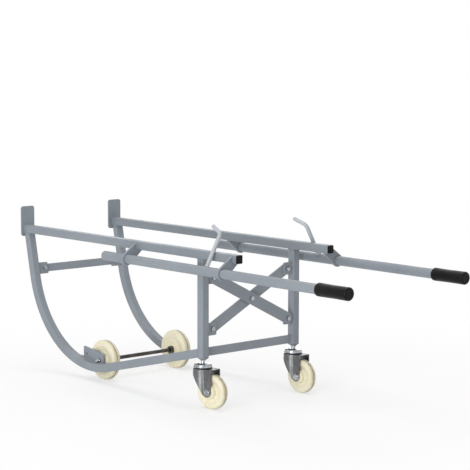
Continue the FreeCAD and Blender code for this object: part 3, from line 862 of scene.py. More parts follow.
def threaded(diameter: float, pitch: float, length: float, turns: int = 24) -> Solid:
    """Threaded rod along Z from z = 0, its far end turned down.

    Args:
        diameter: outer diameter of the thread.
        pitch: height of one turn.
        length: length of the rod.
        turns: faces round the axis.

    Returns:
        A new closed mesh.
    """
    made = bmesh.new()
    depth = THREAD_DEPTH * pitch
    levels = max(THREAD_LEAST, round(length / pitch * THREAD_LEVELS))
    rings = []
    for level in range(levels + 1):
        height = length * level / levels
        taper = max(0.0, 1 - (length - height) / (THREAD_SHARE * depth)) * depth
        phases = [(height / pitch - step / turns) % 1.0 for step in range(turns)]
        cuts = [depth * abs(2 * phase - 1) * THREAD_SHARE for phase in phases]
        rings.append(ring_of(made, [diameter / 2 - cut - taper for cut in cuts], height))
    return stitched(made, rings)


def rod(path: Run, radius: float, sides: int, tip: float) -> Solid:
    """Round bar along a path, with its last end rounded.

    Args:
        path: points of the middle line.
        radius: radius of the bar.
        sides: faces round the bar.
        tip: radius of the rounding at the last end.

    Returns:
        A new closed mesh.
    """
    made = bmesh.new()
    end = path[-1]
    way = (end - path[-2]).normalized()
    stations = [(point, radius) for point in path[:-1]] + [(end - way * tip, radius)]
    for angle in (share * math.pi / 2 for share in TIP_LEVELS):
        point = end - way * tip * (1 - math.sin(angle))
        stations.append((point, radius - tip * (1 - math.cos(angle))))
    across = (path[1] - path[0]).orthogonal().normalized()
    rings = []
    for number, (point, size) in enumerate(stations):
        before = stations[max(0, number - 1)][0]
        after = stations[min(len(stations) - 1, number + 1)][0]
        tangent = (after - before).normalized()
        across = (across - tangent * across.dot(tangent)).normalized()
        other = tangent.cross(across)
        rings.append([made.verts.new(point + (across * math.cos(a) + other * math.sin(a)) * size)
                      for a in steps_round(sides)])
    return stitched(made, rings)


# Meshes and pieces
def to_mesh(solid: Solid, crease: float = CREASE) -> Mesh:
    """Plain mesh with smooth faces and sharp creases.

    Args:
        solid: the mesh in work, which is used up.
        crease: angle in degrees above which an edge stays sharp.

    Returns:
        The new mesh.
    """
    limit = math.radians(crease)
    for face in solid.faces:
        face.smooth = True
    for edge in solid.edges:
        edge.smooth = len(edge.link_faces) == 2 and edge.calc_face_angle(0.0) < limit
    mesh = bpy.data.meshes.new("worked")
    solid.to_mesh(mesh)
    solid.free()
    return mesh


def linked(name: str, data: bpy.types.ID) -> bpy.types.Object:
    """New object in the scene.

    Args:
        name: name of the object.
        data: its mesh, lamp or camera.

    Returns:
        The object.
    """
    made = bpy.data.objects.new(name, data)
    bpy.context.scene.collection.objects.link(made)
    return made


def discard(carrier: bpy.types.Object) -> None:
    """Remove an object and its mesh.

    Args:
        carrier: the object.
    """
    used = carrier.data
    bpy.data.objects.remove(carrier)
    bpy.data.meshes.remove(used)


def plain_mesh(carrier: bpy.types.Object) -> Mesh:
    """Mesh of an object with its modifiers applied.

    Args:
        carrier: the object, which is removed.

    Returns:
        The new mesh.
    """
    graph = bpy.context.evaluated_depsgraph_get()
    mesh = bpy.data.meshes.new_from_object(carrier.evaluated_get(graph))
    discard(carrier)
    return mesh


def joined(node: str) -> Solid:
    """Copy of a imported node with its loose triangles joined.

    Args:
        node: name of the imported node.

    Returns:
        A new mesh.
    """
    solid = bmesh.new()
    solid.from_mesh(frame["nodes"][node].data)
    bmesh.ops.remove_doubles(solid, verts=solid.verts, dist=SAME_POINT)
    return solid


def eased(node: str, width: float) -> Mesh:
    """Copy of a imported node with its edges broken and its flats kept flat.

    Args:
        node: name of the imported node.
        width: width of the broken edge.

    Returns:
        The new mesh.
    """
    solid = joined(node)
    bmesh.ops.dissolve_limit(solid, angle_limit=FLAT, verts=solid.verts, edges=solid.edges)
    mesh = to_mesh(solid, EDGE_CREASE)
    normals = mesh.attributes.get("custom_normal")
    if normals:
        mesh.attributes.remove(normals)
    carrier = linked("carrier", mesh)
    bevel = carrier.modifiers.new("edges", "BEVEL")
    bevel.width = width
    bevel.segments = 2
    bevel.limit_method = "ANGLE"
    bevel.angle_limit = EDGE_ANGLE
    bevel.use_clamp_overlap = True
    bevel.miter_outer = "MITER_ARC"
    bevel.loop_slide = False
    worked = plain_mesh(carrier)
    solid = bmesh.new()
    solid.from_mesh(worked)
    bpy.data.meshes.remove(worked)
    bmesh.ops.remove_doubles(solid, verts=solid.verts, dist=SLIVER)
    bmesh.ops.dissolve_degenerate(solid, edges=solid.edges, dist=SPECK)
    carrier = linked("carrier", to_mesh(solid, EDGE_CREASE))
    carrier.modifiers.new("flats", "WEIGHTED_NORMAL").keep_sharp = False
    return plain_mesh(carrier)


def body_of(node: str) -> str:
    """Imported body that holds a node."""
    return frame["nodes"][node]["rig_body"]


def add_piece(name: str, mesh: Mesh, body: str, finish: Material,
              replaced: Sequence[str] = ()) -> None:
    """Put a finished piece in the scene.

    Args:
        name: name of the piece.
        mesh: its mesh, in place.
        body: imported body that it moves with.
        finish: its material.
        replaced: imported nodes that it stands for.
    """
    mesh.name = name
    mesh.materials.clear()
    mesh.materials.append(finish)
    piece = linked(name, mesh)
    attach(piece, body)
    if replaced:
        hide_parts(*replaced)
    LOG.info("%s: %d faces on %s", name, len(mesh.polygons), body)


def dress(node: str, ending: str, mesh: Mesh, finish: Material) -> None:
    """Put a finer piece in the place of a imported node, with an ending to its name."""
    add_piece(node + ending, mesh, body_of(node), finish, [node])


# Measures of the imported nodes
def points_of(node: str) -> Run:
    """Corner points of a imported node."""
    return [vert.co.copy() for vert in frame["nodes"][node].data.vertices]


def mean(points: Sequence[Vector]) -> Vector:
    """Middle of some points."""
    return sum(points, Vector()) / len(points)


def span(points: Iterable[Vector], axis: Vector) -> tuple[float, float]:
    """Lowest and highest place of some points along an axis."""
    places = [point.dot(axis) for point in points]
    return min(places), max(places)


def foot_of(node: str) -> Vector:
    """Middle of the underside of a node's box."""
    low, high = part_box(node)
    return Vector(((low.x + high.x) / 2, (low.y + high.y) / 2, low.z))


def islands(node: str) -> list[Run]:
    """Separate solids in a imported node.

    Args:
        node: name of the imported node.

    Returns:
        The corner points of each solid, the solids in order of their middles.
    """
    solid = joined(node)
    seen: set[bmesh.types.BMVert] = set()
    found: list[Run] = []
    for start in solid.verts:
        if start in seen:
            continue
        seen.add(start)
        heap, group = [start], []
        while heap:
            vert = heap.pop()
            group.append(vert.co.copy())
            others = {edge.other_vert(vert) for edge in vert.link_edges} - seen
            seen |= others
            heap += others
        found.append(group)
    solid.free()
    return sorted(found, key=lambda group: tuple(round(value, 4) for value in mean(group)))


# Trees that repeat or follow a path
class Trees:
    """Geometry node trees of the fasteners, the bearing balls and the weld seams."""

    STEPS_PER_RIPPLE = 5
    END_SLOPE = 8.0
    END_GIRTH = 0.35

    def __init__(self) -> None:
        """Build each tree once."""
        self.fasteners = self._fasteners()
        self.balls = self._balls()
        self.seams = self._seams()

    @staticmethod
    def _open(name: str, **inputs: str) -> tuple[Bench, Sockets]:
        """Start a tree that takes and gives geometry.

        Args:
            name: name of the tree.
            inputs: kinds of further inputs by name, with underscores for blanks.

        Returns:
            Bench and the sockets that the tree is given.
        """
        tree = bpy.data.node_groups.new(name, "GeometryNodeTree")
        for label, kind in {"Geometry": "Geometry", **inputs, "Finish": "Material"}.items():
            tree.interface.new_socket(
                label.replace("_", " "), in_out="INPUT", socket_type="NodeSocket" + kind)
        tree.interface.new_socket("Geometry", in_out="OUTPUT", socket_type="NodeSocketGeometry")
        bench = Bench(tree)
        return bench, bench.put("NodeGroupInput").outputs

    @staticmethod
    def _close(bench: Bench, given: Sockets, shape: Socket) -> Tree:
        """End a tree in plain geometry with its finish.

        Args:
            bench: bench of the tree.
            given: sockets that the tree is given.
            shape: geometry that it has made.

        Returns:
            The finished tree.
        """
        real = bench.put("GeometryNodeRealizeInstances", {"Geometry": shape}).outputs[0]
        dressed = bench.put(
            "GeometryNodeSetMaterial", {"Geometry": real, "Material": given["Finish"]}).outputs[0]
        bench.put("NodeGroupOutput", {0: dressed})
        return bench.tree

    def _fasteners(self) -> Tree:
        """One master shape on every point, its Z along the point's axis.

        Returns:
            The finished tree.
        """
        bench, given = self._open("fastener_set", Master="Object", Size="Float")
        master = bench.put("GeometryNodeObjectInfo", {"Object": given["Master"]})
        axis = bench.put(
            "GeometryNodeInputNamedAttribute", {"Name": "axis"}, data_type="FLOAT_VECTOR")
        turn = bench.put(
            "FunctionNodeAlignRotationToVector", {"Vector": axis.outputs[0]}, axis="Z")
        points = bench.put("GeometryNodeMeshToPoints", {"Mesh": given["Geometry"]})
        size = bench.put("ShaderNodeCombineXYZ", {way: given["Size"] for way in range(3)})
        spread = bench.put("GeometryNodeInstanceOnPoints", {
            "Points": points.outputs[0], "Instance": master.outputs["Geometry"],
            "Rotation": turn.outputs[0], "Scale": size.outputs[0]})
        return self._close(bench, given, spread.outputs[0])

    def _balls(self) -> Tree:
        """Balls on a circle about Z.

        Returns:
            The finished tree.
        """
        bench, given = self._open(
            "ball_race", Count="Int", Circle_Radius="Float", Ball_Radius="Float", Centre="Vector")
        circle = bench.put("GeometryNodeMeshCircle", {
            "Vertices": given["Count"], "Radius": given["Circle Radius"]})
        ball = bench.put("GeometryNodeMeshUVSphere", {
            "Segments": 16, "Rings": 10, "Radius": given["Ball Radius"]})
        smooth = bench.put("GeometryNodeSetShadeSmooth", {"Geometry": ball.outputs[0]})
        spread = bench.put("GeometryNodeInstanceOnPoints", {
            "Points": circle.outputs[0], "Instance": smooth.outputs[0]})
        moved = bench.put("GeometryNodeTransform", {
            "Geometry": spread.outputs[0], "Translation": given["Centre"]})
        return self._close(bench, given, moved.outputs[0])

    def _seams(self) -> Tree:
        """Rippled bead along every run of edges, thinner at its ends.

        Returns:
            The finished tree.
        """
        bench, given = self._open("weld_seam", Bead="Float", Pitch="Float", Ripple="Float")
        run = bench.put("GeometryNodeMeshToCurve", {"Mesh": given["Geometry"]})
        step = bench.math("MULTIPLY", given["Pitch"], 1 / self.STEPS_PER_RIPPLE)
        even = bench.put(
            "GeometryNodeResampleCurve", {"Curve": run.outputs[0], "Length": step}, mode="LENGTH")
        along = bench.put("GeometryNodeSplineParameter").outputs
        phase = bench.math("FRACT", bench.math("DIVIDE", along["Length"], given["Pitch"]))
        least = bench.math("SUBTRACT", 1.0, given["Ripple"])
        wave = bench.math("MULTIPLY_ADD", phase, given["Ripple"], least)
        girth = bench.put("GeometryNodeInputNamedAttribute", {"Name": "girth"}, data_type="FLOAT")
        wave = bench.math("MULTIPLY", wave, girth.outputs[0])
        left = bench.math("SUBTRACT", 1.0, along["Factor"])
        ends = bench.math("MULTIPLY", along["Factor"], left)
        ends = bench.math("MULTIPLY_ADD", ends, self.END_SLOPE, self.END_GIRTH)
        taper = bench.math("MINIMUM", ends, 1.0)
        ring = bench.put(
            "GeometryNodeCurvePrimitiveCircle", {"Resolution": 10, "Radius": given["Bead"]})
        bead = bench.put("GeometryNodeCurveToMesh", {
            "Curve": even.outputs[0], "Profile Curve": ring.outputs[0],
            "Scale": bench.math("MULTIPLY", wave, taper), "Fill Caps": True})
        smooth = bench.put("GeometryNodeSetShadeSmooth", {"Geometry": bead.outputs[0]})
        return self._close(bench, given, smooth.outputs[0])

    @staticmethod
    def run(tree: Tree, source: Mesh, **values: object) -> Mesh:
        """Result of a tree on a source mesh as a plain mesh.

        Args:
            tree: one of the trees of this class.
            source: points or edges that the tree starts from.
            values: inputs by name, with underscores for blanks.

        Returns:
            The new mesh.
        """
        carrier = bpy.data.objects.new("carrier", source)
        modifier = carrier.modifiers.new("tree", "NODES")
        modifier.node_group = tree
        wanted = {label.replace("_", " "): value for label, value in values.items()}
        for item in tree.interface.items_tree:
            if item.item_type == "SOCKET" and item.in_out == "INPUT" and item.name in wanted:
                modifier[item.identifier] = wanted[item.name]
        bpy.context.scene.collection.objects.link(carrier)
        return plain_mesh(carrier)


@dataclass
class SideFrame:
    """Welded side frames: tubes, plates, lugs and the bars between them."""

    palette: Palette
    edge: float = 0.8 * MM
    foot_edge: float = 0.4 * MM
    plug_edge: float = 0.7 * MM
    pairs: tuple[str, ...] = (
        "rail", "rocker", "upright", "leg_foot", "toe_plate", "handle_bracket_front",
        "handle_bracket_rear", "axle_plate", "brace_lugs", "cross_bar_lug")
    bars: tuple[str, ...] = (
        "brace_bar_front", "brace_bar_rear", "rear_cross_bar", "front_cross_bar", "brace_spacer")

    def build(self) -> None:
        """Ease the edges of every painted piece and close the rail ends."""
        paint, plastic = self.palette.frame_paint, self.palette.black_plastic
        names = [f"{name}_{side.tag}" for name in self.pairs for side in Side]
        for name in (*names, *self.bars):
            width = self.foot_edge if name.startswith("leg_foot") else self.edge
            dress(name, "_painted", eased(name, width), paint)
        for side in Side:
            plug = f"rail_plug_{side.tag}"
            dress(plug, "_moulded", eased(plug, self.plug_edge), plastic)


def run_x(y: float, z: float, ends: Sequence[float]) -> Run:
    """Straight run along X."""
    return [Vector((x, y, z)) for x in ends]


def run_y(x: float, z: float, ends: Sequence[float]) -> Run:
    """Straight run along Y."""
    return [Vector((x, y, z)) for y in ends]


def run_z(x: float, y: float, ends: Sequence[float]) -> Run:
    """Straight run along Z."""
    return [Vector((x, y, z)) for z in ends]


def drawn_in(low: float, high: float, margin: float) -> tuple[float, float]:
    """Two places with the stretch between them made shorter at both ends."""
    return low + margin, high - margin


@dataclass
class Welds:
    """Weld seams of the side frames and of the hooks."""

    palette: Palette
    trees: Trees
    bead: float = 2.3 * MM
    hook_bead: float = 1.5 * MM
    pitch: float = 2.6 * MM
    ripple: float = 0.22
    heavy: float = 1.3
    inset: float = 0.6 * MM
    margin: float = 2.0 * MM
    short_margin: float = 1.0 * MM
    touching: float = 0.5 * MM
    bend_radius: float = 320.0 * MM
    half_tube: float = 12.5 * MM
    bracket_start: float = 3.0 * MM
    bracket_reach: float = 19.0 * MM
    plate_lead: float = 14.0 * MM
    plate_gain: float = 8.0 * MM
    plate_lift: float = 1.2 * MM
    plate_steps: int = 16
    plate_foot: tuple[float, float] = (12.0 * MM, 4.0 * MM)
    hook_sweep: float = math.radians(40)
    hook_steps: int = 6

    def build(self) -> None:
        """Lay all seams of the frame."""
        runs: list[Run] = []
        for side in Side:
            runs += self._rail_runs(side) + self._foot_runs(side)
            runs += self._plate_runs(side) + self._lug_runs(side)
        self._lay("frame_seams", runs, self.bead, "frame")

    def _lay(self, name: str, runs: Sequence[Run], bead: float, body: str) -> None:
        """Lay beads along some runs as one piece.

        Args:
            name: name of the piece.
            runs: points of each seam; one of more than two points is heavier.
            bead: radius of the bead.
            body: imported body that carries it.
        """
        edges, girths, start = [], [], 0
        for run in runs:
            edges += [(start + step, start + step + 1) for step in range(len(run) - 1)]
            girths += [self.heavy if len(run) > 2 else 1.0] * len(run)
            start += len(run)
        source = bpy.data.meshes.new("runs")
        source.from_pydata([tuple(point) for run in runs for point in run], edges, [])
        source.attributes.new("girth", "FLOAT", "POINT").data.foreach_set("value", girths)
        paint = self.palette.frame_paint
        mesh = self.trees.run(self.trees.seams, source, Bead=bead, Pitch=self.pitch,
                              Ripple=self.ripple, Finish=paint)
        add_piece(name, mesh, body, paint)

    def _rail_runs(self, side: Side) -> list[Run]:
        """Seams where the upright, the rocker and the toe plate meet the rail.

        Args:
            side: side of the trolley.

        Returns:
            The points of each seam.
        """
        low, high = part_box(f"rail_{side.tag}")
        post_low, post_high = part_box(f"upright_{side.tag}")
        faces = drawn_in(low.y, high.y, self.inset)
        width = drawn_in(low.y, high.y, self.margin)
        throat = low.x + 2 * self.half_tube / math.cos(LEAN)
        runs = [run_y(x, low.z, width) for x in (post_low.x, post_high.x, throat)]
        for ends in ((post_low.x, post_high.x), (low.x + self.margin, throat)):
            runs += [run_x(y, low.z, ends) for y in faces]
        runs.append(run_y(low.x, high.z - self.inset, width))
        runs += [run_z(low.x, y, drawn_in(low.z, high.z, self.margin)) for y in faces]
        return runs

    def _foot_runs(self, side: Side) -> list[Run]:
        """Seams where the rocker and the front bar meet the upright.

        Args:
            side: side of the trolley.

        Returns:
            The points of each seam.
        """
        low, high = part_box(f"upright_{side.tag}")
        rocker = points_of(f"rocker_{side.tag}")
        bottom, top = span([p for p in rocker if abs(p.x - low.x) < self.touching], Z_AXIS)
        width = drawn_in(low.y, high.y, self.margin)
        heights = drawn_in(bottom, top, self.short_margin)
        runs = [run_y(low.x, z, width) for z in (bottom + self.inset, top)]
        runs += [run_z(low.x, y, heights) for y in drawn_in(low.y, high.y, self.inset)]
        low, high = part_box("front_cross_bar")
        y = side.outer(low.y, high.y)
        heights = drawn_in(low.z, high.z, self.short_margin)
        return runs + [run_z(x, y, heights) for x in (low.x, high.x)]

    def _plate_runs(self, side: Side) -> list[Run]:
        """Seams of the handle brackets on the rail and of the axle plate on the rocker.

        Args:
            side: side of the trolley.

        Returns:
            The points of each seam.
        """
        rail_low, rail_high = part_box(f"rail_{side.tag}")
        outer = side.outer(rail_low.y, rail_high.y)
        under = [outer - side.value * reach for reach in (self.bracket_start, self.bracket_reach)]
        runs = []
        for name in ("handle_bracket_front", "handle_bracket_rear"):
            low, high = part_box(f"{name}_{side.tag}")
            for x in (low.x, high.x):
                ends = rail_low.z + self.bracket_start, high.z - self.margin
                runs += [run_z(x, outer, ends), run_y(x, rail_low.z, under)]
        low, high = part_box(f"axle_plate_{side.tag}")
        face = side.outer(low.y, high.y)
        start, length = low.x - self.plate_lead, high.x - low.x + self.plate_gain
        places = [start + length * step / self.plate_steps for step in range(self.plate_steps + 1)]
        bend = self._bend_centre(side)
        reach = self.bend_radius - self.half_tube
        laid = face + side.value * self.plate_lift
        runs.append([Vector((x, laid, bend.z - math.sqrt(reach ** 2 - (x - bend.x) ** 2)))
                     for x in places])
        rear, front = self.plate_foot
        return runs + [run_x(face, low.z, (low.x + rear, high.x - front))]

    def _bend_centre(self, side: Side) -> Vector:
        """Middle of the rocker's bend, from the foot of the rocker and its rear end.

        Args:
            side: side of the trolley.

        Returns:
            The middle, in the plane y = 0.
        """
        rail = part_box(f"rail_{side.tag}")[0]
        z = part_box(f"rocker_{side.tag}")[0].z + self.half_tube + self.bend_radius
        top = z - self.bend_radius * math.sin(LEAN)
        x = rail.x + self.half_tube / math.cos(LEAN) + (rail.z - top) * math.tan(LEAN)
        return Vector((x + self.bend_radius * math.cos(LEAN), 0.0, z))

    def _lug_runs(self, side: Side) -> list[Run]:
        """Seams at the roots of the lugs.

        Args:
            side: side of the trolley.

        Returns:
            The points of each seam.
        """
        runs = []
        for group in islands(f"brace_lugs_{side.tag}"):
            root = side.outer(*span(group, Y_AXIS))
            heights = drawn_in(*span(group, Z_AXIS), self.margin)
            runs += [run_z(x, root, heights) for x in span(group, X_AXIS)]
        group = points_of(f"cross_bar_lug_{side.tag}")
        root = Y_AXIS * side.outer(*span(group, Y_AXIS))
        heights = drawn_in(*span(group, REAR_UP), self.margin)
        for place in span(group, REAR_AHEAD):
            runs.append([root + REAR_AHEAD * place + REAR_UP * height for height in heights])
        return runs

    def hook_seam(self, side: Side, foot: Vector, stand: Vector, tube: float, bar: float) -> None:
        """Two seams where a hook stands on its handle tube, clear of the brackets that stop it.

        Args:
            side: side of the trolley.
            foot: point on the tube's axis under the hook.
            stand: direction of the hook.
            tube: radius of the tube.
            bar: radius of the hook.
        """
        across = stand.cross(X_AXIS).normalized()
        runs = []
        for start in (0.0, math.pi):
            run = []
            for step in range(-self.hook_steps, self.hook_steps + 1):
                angle = start + self.hook_sweep * step / self.hook_steps
                sideways = bar * math.cos(angle)
                lift = math.sqrt(tube ** 2 - sideways ** 2)
                run.append(foot + stand * lift + across * sideways
                           + X_AXIS * (bar * math.sin(angle)))
            runs.append(run)
        body = body_of(f"drum_hook_{side.tag}")
        self._lay(f"hook_seam_{side.tag}", runs, self.hook_bead, body)


@dataclass
class Fasteners:
    """Hexagon bolts and nuts of the brace, of the rear cross bar and of the axle ends."""

    palette: Palette
    trees: Trees
    flats: float = 13.0 * MM
    head: float = 5.3 * MM
    nut: float = 6.5 * MM
    shank: float = 8.0 * MM
    pitch: float = 1.25 * MM
    tail: float = 3.0 * MM
    skirt_share: float = 0.49
    skirt_ends: tuple[float, float] = (-0.05 * MM, 0.5 * MM)
    rear_limit: float = -0.4
    ring_bore: float = 6.1 * MM
    bore_ease: float = 0.2 * MM
    washer_ease: float = 0.35 * MM
    collar_ease: float = 0.9 * MM
    screw_reach: float = 2.6 * MM
    screw_rise: float = 1.0 * MM
    screw_socket: tuple[float, float] = (1.5 * MM, 1.4 * MM)
    screw_floor: float = -0.6 * MM
    screw_sunk: float = 0.7 * MM

    def build(self) -> None:
        """Set heads and nuts on their seats, and dress the axle ends."""
        skirt = lathe(sleeve(0.0, self.skirt_share * self.flats, *self.skirt_ends), turns=48)
        head = merged([hexagon(self.flats, self.head), skirt])
        self._set("frame_bolts", head, self.head, 1)
        tail = threaded(self.shank, self.pitch, self.nut + self.tail)
        nut = merged([hexagon(self.flats, self.nut, self.shank), tail])
        self._set("frame_nuts", nut, 0.0, -1)
        for node, make, finish in (
                ("axle_studs", self._stud, self.palette.zinc),
                ("axle_washers", self._washer, self.palette.zinc),
                ("axle_collars", self._collar, self.palette.axle_steel)):
            solids = [solid for group in islands(node) for solid in make(group)]
            dress(node, "_plated", to_mesh(merged(solids)), finish)

    def _set(self, node: str, master: Solid, depth: float, sign: int) -> None:
        """Put a master shape on the seat of every solid of a node.

        Args:
            node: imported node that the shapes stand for.
            master: shape with its seat at z = 0, used up.
            depth: distance from the front end of each solid back to the seat.
            sign: 1 where the shape stands along the bolt's direction, -1 against it.
        """
        points, axes = [], []
        for group in islands(node):
            axis = REAR_AHEAD if mean(group).x < self.rear_limit else X_AXIS
            up = axis.cross(Y_AXIS)
            middles = [sum(span(group, way)) / 2 for way in (Y_AXIS, up)]
            seat = axis * (span(group, axis)[1] - depth)
            points.append(tuple(seat + Y_AXIS * middles[0] + up * middles[1]))
            axes.extend(axis * sign)
        source = bpy.data.meshes.new("seats")
        source.from_pydata(points, [], [])
        source.attributes.new("axis", "FLOAT_VECTOR", "POINT").data.foreach_set("vector", axes)
        shape = linked("master", to_mesh(master))
        mesh = self.trees.run(self.trees.fasteners, source, Master=shape, Size=1.0,
                              Finish=self.palette.zinc)
        discard(shape)
        dress(node, "_plated", mesh, self.palette.zinc)

    @staticmethod
    def _on_axle(group: Run) -> tuple[Side, Vector, float, float]:
        """Place of a round piece on the rear axle.

        Args:
            group: corner points of the piece.

        Returns:
            Side, middle of the inner face, length outwards and radius.
        """
        low, high = span(group, Y_AXIS)
        side = Side.LEFT if low + high < 0 else Side.RIGHT
        x, z = (sum(span(group, way)) / 2 for way in (X_AXIS, Z_AXIS))
        inner = high if side is Side.LEFT else low
        return side, Vector((x, inner, z)), high - low, span(group, X_AXIS)[1] - x

    def _stud(self, group: Run) -> list[Solid]:
        """Nut and threaded end of the axle outside its plate.

        Args:
            group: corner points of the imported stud.

        Returns:
            The two solids.
        """
        side, inner, length, _ = self._on_axle(group)
        low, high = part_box(f"axle_plate_{side.tag}")
        face = side.outer(low.y, high.y)
        start, way = Vector((inner.x, face, inner.z)), Y_AXIS * side.value
        thread = abs(inner.y + side.value * length - face)
        return [placed(hexagon(self.flats, self.nut, self.shank), start, way),
                placed(threaded(self.shank, self.pitch, thread), start, way)]

    def _ring(self, group: Run, ease: float) -> Solid:
        """Ring on the axle.

        Args:
            group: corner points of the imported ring.
            ease: rounding of its outer corners.

        Returns:
            The solid.
        """
        side, inner, length, reach = self._on_axle(group)
        eases = (self.bore_ease, ease, ease, self.bore_ease)
        return spun(sleeve(self.ring_bore, reach, 0.0, length, eases), inner, Y_AXIS * side.value)

    def _washer(self, group: Run) -> list[Solid]:
        """Washer beside a wheel."""
        return [self._ring(group, self.washer_ease)]

    def _collar(self, group: Run) -> list[Solid]:
        """Inner collar with its set screw on top.

        Args:
            group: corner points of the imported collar.

        Returns:
            The two solids.
        """
        side, inner, length, reach = self._on_axle(group)
        mouth, floor = self.screw_socket
        screw = [
            (0.0, 0.0), (self.screw_reach, 0.0), (self.screw_reach, self.screw_rise),
            (mouth, self.screw_rise), (floor, self.screw_floor), (0.0, self.screw_floor)]
        seat = inner + Y_AXIS * (side.value * length / 2) + Z_AXIS * (reach - self.screw_sunk)
        return [self._ring(group, self.collar_ease), spun(screw, seat, Z_AXIS, turns=24)]


@dataclass(frozen=True)
class Wheel:
    """One kind of nylon wheel with its steel bush; its widths are halves."""

    radius: float
    tread: float
    hub: float
    hub_reach: float
    bore: float
    bush_bore: float
    face_share: float = 0.74
    step_share: float = 0.78
    root_share: float = 1.14
    step: float = 1.0 * MM
    lip: float = 1.4 * MM
    rim_share: float = 0.74
    web_share: float = 0.54
    web_width_share: float = 0.62
    edge_share: float = 0.62
    edge_steps: int = 8
    groove: float = 1.0 * MM
    groove_depth: float = 0.9 * MM
    bush_gap: float = 0.1 * MM
    bush_eases: tuple[float, ...] = (0.5 * MM, 0.7 * MM, 0.7 * MM, 0.5 * MM)

    def profile(self) -> Profile:
        """Profile of the nylon.

        Returns:
            Closed profile of (radius, height across the wheel).
        """
        web = self.tread * self.web_width_share
        edge = self.tread * self.edge_share
        half: list[Corner] = [
            (self.bore, self.hub_reach, 0.6 * MM),
            (self.hub * self.face_share, self.hub_reach, 0.5 * MM),
            (self.hub * self.step_share, self.hub_reach - self.step, 0.5 * MM),
            (self.hub, self.hub_reach - self.lip, 1.2 * MM),
            (self.hub * self.root_share, web, 3.0 * MM),
            (self.radius * self.web_share, web, 5.0 * MM),
            (self.radius * self.rim_share, self.tread, 6.0 * MM),
        ]
        for step in range(self.edge_steps + 1):
            angle = math.pi / 2 * step / self.edge_steps
            half.append((self.radius - edge * (1 - math.sin(angle)),
                         self.tread - edge * (1 - math.cos(angle)), 0.0))
        half.append((self.radius, self.groove, 0.25 * MM))
        half.append((self.radius - self.groove_depth, 0.5 * self.groove, 0.2 * MM))
        return round_corners(half + [(r, -y, ease) for r, y, ease in reversed(half)], steps=6)

    def dress(self, wheel: str, bush: str, turn: float, palette: Palette) -> None:
        """Replace a wheel and its bush by finer ones.

        Args:
            wheel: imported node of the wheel.
            bush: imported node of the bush.
            turn: angle of the wheel's axle about Z.
            palette: the finishes.
        """
        low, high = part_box(wheel)
        centre = (low + high) / 2
        axle = Matrix.Rotation(turn, 3, "Z") @ Y_AXIS
        nylon = Nylon(wheel + "_nylon", tuple(centre), turn, self.radius).build()
        mesh = to_mesh(spun(self.profile(), centre, axle, turns=120), crease=40.0)
        dress(wheel, "_cast", mesh, nylon)
        start, end = (place - centre.dot(axle) for place in span(points_of(bush), axle))
        ring = sleeve(self.bush_bore, self.bore - self.bush_gap, start, end, self.bush_eases)
        mesh = to_mesh(spun(ring, centre, axle, turns=64))
        dress(bush, "_turned", mesh, palette.bright_steel)


@dataclass
class RearAxle:
    """Rear axle rod with its two fixed wheels and their bushes."""

    palette: Palette
    end_ease: float = 0.8 * MM
    wheel: Wheel = Wheel(radius=61.5 * MM, tread=15.0 * MM, hub=21.0 * MM, hub_reach=16.8 * MM,
                         bore=12.1 * MM, bush_bore=6.08 * MM)

    def build(self) -> None:
        """Make the rod, the wheels and the bushes."""
        low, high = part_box("rear_axle")
        eases = (0.0, self.end_ease, self.end_ease, 0.0)
        profile = sleeve(0.0, (high.z - low.z) / 2, 0.0, high.y - low.y, eases)
        start = Vector(((low.x + high.x) / 2, low.y, (low.z + high.z) / 2))
        mesh = to_mesh(spun(profile, start, Y_AXIS, turns=48))
        dress("rear_axle", "_oiled", mesh, self.palette.axle_steel)
        for side in Side:
            self.wheel.dress(
                f"rear_wheel_{side.tag}", f"rear_bush_{side.tag}", 0.0, self.palette)


